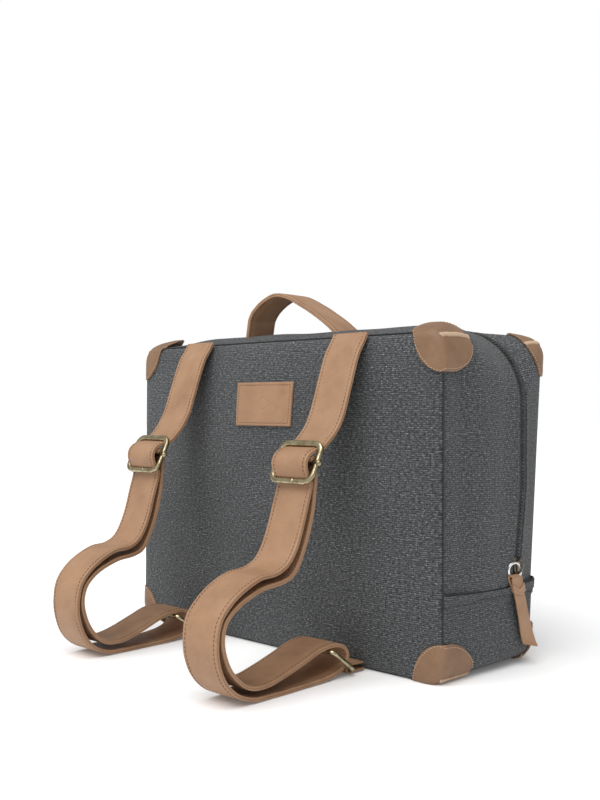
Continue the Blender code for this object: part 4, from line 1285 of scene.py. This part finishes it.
def label():
    """A stitched leather label with a plain embossed diamond."""
    center = (label_low.z + label_high.z) / 2
    cols, rows = 120, 68
    outer, inner = [], []
    for j in range(rows + 1):
        z = center - LABEL_H / 2 + LABEL_H * j / rows
        high, low = [], []
        for i in range(cols + 1):
            x = -LABEL_W / 2 + LABEL_W * i / cols
            away = min(LABEL_W / 2 - abs(x), LABEL_H / 2 - abs(z - center))
            shape = min(1.0, away / (0.8 * MM))
            lift = LABEL_T * (0.5 + 0.5 * math.sqrt(max(0.0, 1 - (1 - shape) ** 2)))
            lift -= 0.28 * MM * math.exp(-((away - 2.3 * MM) / (0.4 * MM)) ** 2)
            mark = abs(x) / (8 * MM) + abs(z - center) / (5 * MM)
            lift -= 0.35 * MM * math.exp(-((mark - 1.0) / 0.10) ** 2)
            lift += 0.18 * MM * noise.noise(Vector((x * 110, 0.0, z * 110)))
            base = back_face(x, z) - 0.5 * MM
            high.append(Vector((x, base - lift, z)))
            low.append(Vector((x, base, z)))
        outer.append(high)
        inner.append(low)
    place_piece("leather_label", sheet_mesh("leather_label", outer, inner, edge_material=1), [HIDE, CUT_EDGE],
                "root", ("label",))
    half_w, half_h = LABEL_W / 2 - 2.3 * MM, LABEL_H / 2 - 2.3 * MM
    corners = [(-half_w, -half_h), (half_w, -half_h), (half_w, half_h), (-half_w, half_h), (-half_w, -half_h)]
    rows = []
    for (x0, z0), (x1, z1) in zip(corners, corners[1:]):
        row = []
        for k in range(41):
            x, z = x0 + (x1 - x0) * k / 40, center + z0 + (z1 - z0) * k / 40
            row.append(Vector((x, back_face(x, z) - 0.5 * MM - LABEL_T + 0.1 * MM, z)))
        rows.append((row, lambda _m, _a, _g: Vector((0.0, -1.0, 0.0))))
    stitches("label_stitches", rows, THREAD, "root", 1.7 * MM, 0.2 * MM, 2.4 * MM)


# ---- Metal fittings -----------------------------------------------------------------------------
def rounded_loop(center, right, up, half_w, half_h, bend, count):
    """Evenly spaced (point, outward side) round a rounded rectangle in the plane of right and up."""
    return [(center + right * a + up * b, right * math.cos(angle) + up * math.sin(angle))
            for a, b, angle in rounded_walk(half_w, half_h, bend, count)]


def wire_frame(name, loop, normal, thick_in, thick_out, body, nodes, look=None, joint_at=None):
    """A closed wire with a soft squared section; joint_at is the place in the loop where its ends butt."""
    sides, bm, grid = 20, bmesh.new(), []
    for k, (point, out) in enumerate(loop):
        pinch = 1.0
        if joint_at is not None:
            pinch = 1 - 0.22 * math.exp(-((k - joint_at * len(loop)) / 0.8) ** 2)
        uneven = 1 + 0.02 * noise.noise(point * 300)
        ring = []
        for s in range(sides):
            a = 2 * math.pi * s / sides
            ca, sa = math.cos(a), math.sin(a)
            round_a = math.copysign(abs(ca) ** 0.8, ca)
            round_b = math.copysign(abs(sa) ** 0.8, sa)
            ring.append(bm.verts.new(point + (out * (round_a * thick_in) + normal * (round_b * thick_out))
                                     * pinch * uneven))
        grid.append(ring)
    skin(bm, grid + grid[:1])
    data = mesh_data(bm, name)
    return place_piece(name, data, [look or BRASS], body, nodes)


def turned(bm, center, axis, profile, sides=28):
    """A turned shape: profile is a list of (distance along axis, radius)."""
    first = axis.orthogonal().normalized()
    second = axis.cross(first).normalized()
    rings = []
    for along, radius in profile:
        if radius <= 0:
            rings.append([bm.verts.new(center + axis * along)])
        else:
            rings.append([bm.verts.new(center + axis * along
                                       + (first * math.cos(a) + second * math.sin(a)) * radius)
                          for a in (2 * math.pi * k / sides for k in range(sides))])
    for ring, after in zip(rings, rings[1:]):
        for k in range(sides):
            n = (k + 1) % sides
            if len(ring) == 1:
                corners = (ring[0], after[n], after[k])
            elif len(after) == 1:
                corners = (ring[k], ring[n], after[0])
            else:
                corners = (ring[k], ring[n], after[n], after[k])
            bm.faces.new(corners).smooth = True


def pin_profile():
    """Half of the pin, from its middle to the tip of the ball at its end."""
    ball, rod, ball_x = 2.35 * MM, 1.5 * MM, BUCKLE_HALF_W + 1.9 * MM
    points = [(0.0, rod), (BUCKLE_HALF_W - 0.4 * MM, rod)]
    start = math.pi - math.asin(rod / ball)
    for k in range(10):
        angle = start * (1 - k / 9)
        points.append((ball_x + ball * math.cos(angle), ball * math.sin(angle) if k < 9 else 0.0))
    return points


def buckles():
    for side, (x, reach) in STRAPS.items():
        center = buckle_middle(x, reach)
        loop = rounded_loop(center, ACROSS, -BUCKLE_DIR, BUCKLE_HALF_W, BUCKLE_HALF_H, 6.2 * MM, 220)
        wire_frame("buckle_wire_" + side, loop, BUCKLE_OUT, 2.15 * MM, 1.65 * MM, "buckle_" + side,
                   ("buckle_frame_" + side,), joint_at=0.845)
        half = pin_profile()
        bm = bmesh.new()
        turned(bm, center, ACROSS, [(-a, r) for a, r in reversed(half)] + half[1:])
        data = mesh_data(bm, "buckle_rivet_" + side)
        place_piece("buckle_rivet_" + side, data, [BRASS], "strap_" + side, ("buckle_pin_" + side,))
        middle = (RING_STRAP_BAR + RING_TAB_BAR) / 2 + Vector((x, 0.0, 0.0))
        up = (RING_STRAP_BAR - RING_TAB_BAR).normalized()
        half_h = (RING_STRAP_BAR - RING_TAB_BAR).length / 2
        loop = rounded_loop(middle, ACROSS, up, 18.2 * MM, half_h, 4.2 * MM, 200)
        wire_frame("strap_ring_wire_" + side, loop, ACROSS.cross(up), RING_WIRE_R, RING_WIRE_R,
                   "ring_" + side, ("strap_ring_" + side,), joint_at=0.37)


# ---- Zip slider and pull ------------------------------------------------------------------------
SLIDE_AXIS = Vector((0.0, zip_y(ZIP_DRIFT_FROM) - zip_y(ZIP_LOW_Z), ZIP_DRIFT_FROM - ZIP_LOW_Z)).normalized()
SLIDE_SIDE = Vector((0.0, SLIDE_AXIS.z, -SLIDE_AXIS.y))
SLIDER_AT = Vector((HALF_W + CROWN_SIDE + 0.4 * MM, zip_y(ZIP_LOW_Z + 5.5 * MM), ZIP_LOW_Z + 5.5 * MM))
SLIDER_SHAPE = ((0.0, -6.2), (1.9, -6.0), (3.1, -5.0), (3.6, -3.2), (4.3, -0.5), (4.8, 2.0), (4.6, 4.4),
                (3.4, 6.0), (2.2, 5.6), (1.0, 4.6), (0.0, 4.2))
# the slider's arch, as millimetres along the zip and millimetres out, and its cross-section
ARCH_LINE = ((-4.8, 0.8), (-4.7, 2.8), (-3.6, 4.3), (-1.0, 4.9), (2.0, 4.6), (3.9, 3.4), (4.4, 1.2))
ARCH_SECTION = ((-1.5, -0.35), (-1.15, -0.6), (1.15, -0.6), (1.5, -0.35), (1.5, 0.35), (1.15, 0.6),
                (-1.15, 0.6), (-1.5, 0.35))


def slider():
    bm = bmesh.new()
    right = [(a * MM, b * MM) for a, b in SLIDER_SHAPE]
    outline = right + [(-a, b) for a, b in reversed(right[1:-1])]
    levels = ((0.0, 1.0), (0.9 * MM, 1.0), (1.35 * MM, 0.94), (1.6 * MM, 0.80))   # height, share of width
    rings = []
    for height, size in levels:
        middle = SLIDER_AT + Vector((height, 0.0, 0.0))
        rings.append([bm.verts.new(middle + SLIDE_SIDE * a * size + SLIDE_AXIS * b * size)
                      for a, b in outline])
    skin(bm, rings)
    bm.faces.new(rings[0])
    bm.faces.new(rings[-1])
    for side in (-1, 1):
        rail = SLIDER_AT + SLIDE_SIDE * (side * 3.7 * MM) + Vector((-0.6 * MM, 0.0, 0.0))
        add_box(bm, rail, SLIDE_AXIS, SLIDE_SIDE, Vector((1.0, 0.0, 0.0)), 8.0 * MM, 0.9 * MM, 2.4 * MM, 0.9)
    data = mesh_data(bm, "slider_plate", sharp=40)
    place_piece("slider_plate", data, [BRONZE], "slider", ("zip_slider",))
    points = [SLIDER_AT + Vector((out * MM, 0.0, 0.0)) + SLIDE_AXIS * (along * MM)
              for along, out in ARCH_LINE]
    route = smooth_route(points, 6)
    bm = bmesh.new()
    grid = []
    for point, along in zip(route, along_route(route)):
        out = along.cross(SLIDE_SIDE).normalized()
        grid.append([bm.verts.new(point + SLIDE_SIDE * a * MM + out * b * MM)
                     for a, b in ARCH_SECTION])
    skin(bm, grid)
    bm.faces.new(grid[0])
    bm.faces.new(grid[-1])
    data = mesh_data(bm, "slider_arch")
    place_piece("slider_arch", data, [BRONZE], "slider", ("slider_bridge",))


PULL_RING_R, PULL_WIRE_R = 5.6 * MM, 0.85 * MM
PULL_HOLE = SLIDER_AT + Vector((2.1 * MM, 0.0, -1.5 * MM))
RING_MIDDLE = PULL_HOLE + Vector((-0.5 * MM, -5.0 * MM, -1.6 * MM))
RING_ACROSS = Vector((0.36, 0.93, 0.0)).normalized()
PULL_W, PULL_THICK = 13.4 * MM, 1.5 * MM
PULL_LEAN = 0.29
PULL_TWIST = 0.30


def pull_across(drop):
    """The way the tab's width runs at one distance below the ring: it turns outwards near the tip."""
    share = min(1.0, max(0.0, drop / MM - 22) / 26)
    turn = PULL_TWIST * share * share
    return Vector((math.sin(turn), math.cos(turn), 0.0))


def pull():
    """A split ring and the folded leather tab that hangs from it, with a V of stitched leather."""
    loop = []
    for k in range(96):
        angle = 4 * math.pi * k / 96
        out = RING_ACROSS * math.sin(angle) + Vector((0.0, 0.0, math.cos(angle)))
        apart = Vector((0.45 * MM * math.cos(angle / 2), 0.0, 0.0))
        loop.append((RING_MIDDLE + out * PULL_RING_R + apart, out))
    wire_frame("pull_split_ring", loop, RING_ACROSS.cross(Vector((0.0, 0.0, -1.0))), PULL_WIRE_R * 0.9,
               PULL_WIRE_R * 0.62, "pull", ("pull_ring",), NICKEL)
    low = RING_MIDDLE - Vector((0.0, 0.0, PULL_RING_R))
    front = [(4.6, -49.5), (3.7, -46.5), (3.0, -40.0), (2.6, -30.0), (2.2, -20.0), (1.7, -8.0)]
    fold = [(0.3 + 1.6 * math.cos(math.radians(a)), 0.6 + 1.8 * math.sin(math.radians(a)))
            for a in range(0, 181, 30)]
    back = [(-0.5, -3.0), (0.2, -6.0), (0.4, -9.0)]
    route = smooth_route([low + Vector((out * MM, 0.0, z * MM)) for out, z in front + fold + back], 5)
    half, thick = PULL_W / 2, PULL_THICK / 2
    face = [-half + 0.5 * MM + (PULL_W - 1.0 * MM) * k / 8 for k in range(9)]
    outline = [(-half, thick * 0.55)] + [(a, thick) for a in face]
    outline += [(half, thick * 0.55), (half, -thick * 0.55)]
    outline += [(a, -thick) for a in reversed(face)] + [(-half, -thick * 0.55)]
    bm = bmesh.new()
    grid = []
    for point, along in zip(route, along_route(route)):
        drop = max(0.0, low.z - point.z)
        across = pull_across(drop)
        out = along.cross(-across).normalized()
        tip = max(0.0, 1 - (point - route[0]).length / (10 * MM)) if drop > 30 * MM else 0.0
        ring = []
        for a, b in outline:
            slant = Vector((0.0, 0.0, -a * 0.22 * tip))
            wave = 0.22 * MM * noise.noise(Vector((drop * 90, a * 60, 4.0)))
            leaning = point + Vector((0.0, PULL_LEAN * drop, 0.0))
            ring.append(bm.verts.new(leaning + slant + across * a + out * (b + wave)))
        grid.append(ring)
    skin(bm, grid, lambda k, n: 1 if abs(outline[k][0]) == half == abs(outline[n][0]) else 0)
    for ring in (grid[0], grid[-1]):
        bm.faces.new(ring).material_index = 1
    data = mesh_data(bm, "leather_pull")
    place_piece("leather_pull", data, [HIDE, CUT_EDGE], "pull", ("pull_tab",))
    chevron(low)


def chevron(low):
    """The stitched V where the tab's two layers meet."""
    shares = [k / 12 - 1 for k in range(25)]
    lower, upper = [], []
    for share in shares:
        for rows, drop in ((lower, 12.4 - 3.0 * abs(share)), (upper, 7.6 - 4.2 * abs(share))):
            out = (2.55 - 0.5 * abs(share) ** 3) * MM
            rows.append(low + Vector((out, PULL_LEAN * drop * MM + share * 7.9 * MM, -drop * MM)))
    bm = bmesh.new()
    section = ((upper, -0.5), (upper, 0.35), (upper, 0.55), (lower, 0.75), (lower, 0.5), (lower, -0.5))
    levels = [[bm.verts.new(p + Vector((lift * MM, 0.0, 0.0))) for p in row] for row, lift in section]
    for level, after in zip(levels, levels[1:] + levels[:1]):
        for k in range(len(shares) - 1):
            bm.faces.new((level[k], level[k + 1], after[k + 1], after[k])).smooth = True
    for k in (0, -1):
        bm.faces.new([level[k] for level in levels])
    data = mesh_data(bm, "leather_pull_flap", sharp=35)
    place_piece("leather_pull_flap", data, [HIDE], "pull")
    rows = []
    for share in (0.25, 0.75):
        row = [a.lerp(b, share) + Vector((0.70 * MM, 0.0, 0.0)) for a, b in zip(upper, lower)]
        rows.append((row[1:-1], lambda _m, _a, _g: Vector((1.0, 0.0, 0.0))))
    stitches("pull_stitches", rows, THREAD_PALE, "pull", 1.6 * MM, 0.24 * MM, 2.2 * MM)


# ---- Inside -------------------------------------------------------------------------------------
def inside():
    for name, look in (("body_lining", LINING), ("cover_lining", LINING), ("back_stiffener", BOARD),
                       ("cover_stiffener", BOARD)):
        for place in frame["nodes"][name].material_slots:
            place.material = look


# ---- Room, camera and light ---------------------------------------------------------------------
SKY_LIGHT = 0.52


def camera():
    data = bpy.data.cameras.new("view")
    data.lens = 43.9
    data.sensor_width = 36.0
    data.sensor_fit = "AUTO"
    data.clip_start = 0.01
    item = bpy.data.objects.new("view", data)
    bpy.context.scene.collection.objects.link(item)
    yaw, pitch, roll = math.radians(43.48), math.radians(0.588), math.radians(0.25)
    ahead = Vector((-math.sin(yaw) * math.cos(pitch), math.cos(yaw) * math.cos(pitch), math.sin(pitch)))
    right = Vector((math.cos(yaw), math.sin(yaw), 0.0))
    up = right.cross(ahead)
    x_axis = right * math.cos(roll) + up * math.sin(roll)
    y_axis = up * math.cos(roll) - right * math.sin(roll)
    turn = Matrix((x_axis, y_axis, -ahead)).transposed()
    item.matrix_world = Matrix.Translation((0.5409, -0.6026, 0.1849)) @ turn.to_4x4()
    bpy.context.scene.camera = item


def soft_light(name, place, aim, size, power, tint=(1.0, 1.0, 1.0)):
    data = bpy.data.lights.new(name, "AREA")
    data.shape = "RECTANGLE"
    data.size, data.size_y = size
    data.energy = power
    data.color = tint
    item = bpy.data.objects.new(name, data)
    item.location = place
    item.rotation_euler = (Vector(aim) - Vector(place)).to_track_quat("-Z", "Y").to_euler()
    bpy.context.scene.collection.objects.link(item)


def room():
    bm = bmesh.new()
    corners = [bm.verts.new((x, y, 0.0)) for x, y in ((-8, -8), (8, -8), (8, 8), (-8, 8))]
    bm.faces.new(corners)
    data = mesh_data(bm, "floor", outward=False)
    paper = Nodes("white_paper")
    fibre = paper.noise(paper.place(), 40.0, 3.0)
    paper.finish(paper.ramp(fibre, (0.3, (0.94, 0.94, 0.94)), (0.7, (0.96, 0.96, 0.96))), 0.9,
                 Emission_Color=(1.0, 1.0, 1.0, 1.0), Emission_Strength=0.07)
    floor = bpy.data.objects.new("floor", data)
    data.materials.append(paper.material)
    bpy.context.scene.collection.objects.link(floor)
    world = bpy.data.worlds.new("studio")
    world.use_nodes = True
    nodes, links = world.node_tree.nodes, world.node_tree.links
    nodes["Background"].inputs["Color"].default_value = (1.0, 1.0, 1.0, 1.0)
    rays = nodes.new("ShaderNodeLightPath")
    level = nodes.new("ShaderNodeMapRange")
    level.inputs["To Min"].default_value = SKY_LIGHT
    level.inputs["To Max"].default_value = 1.0
    links.new(rays.outputs["Is Camera Ray"], level.inputs["Value"])
    links.new(level.outputs[0], nodes["Background"].inputs["Strength"])
    bpy.context.scene.world = world
    bpy.context.scene.view_settings.view_transform = "Standard"
    sun = bpy.data.lights.new("overhead", "SUN")
    sun.energy = 2.35
    sun.angle = math.radians(55)
    item = bpy.data.objects.new("overhead", sun)
    item.rotation_euler = Vector((-0.10, 0.52, -1.0)).to_track_quat("-Z", "Y").to_euler()
    bpy.context.scene.collection.objects.link(item)
    soft_light("key", (-0.5, -1.6, 1.5), (0.0, 0.0, 0.1), (1.2, 1.2), 5.0)


build_body()
straps()
ring_tabs()
handle()
patches()
label()
buckles()
slider()
pull()
inside()
room()
camera()
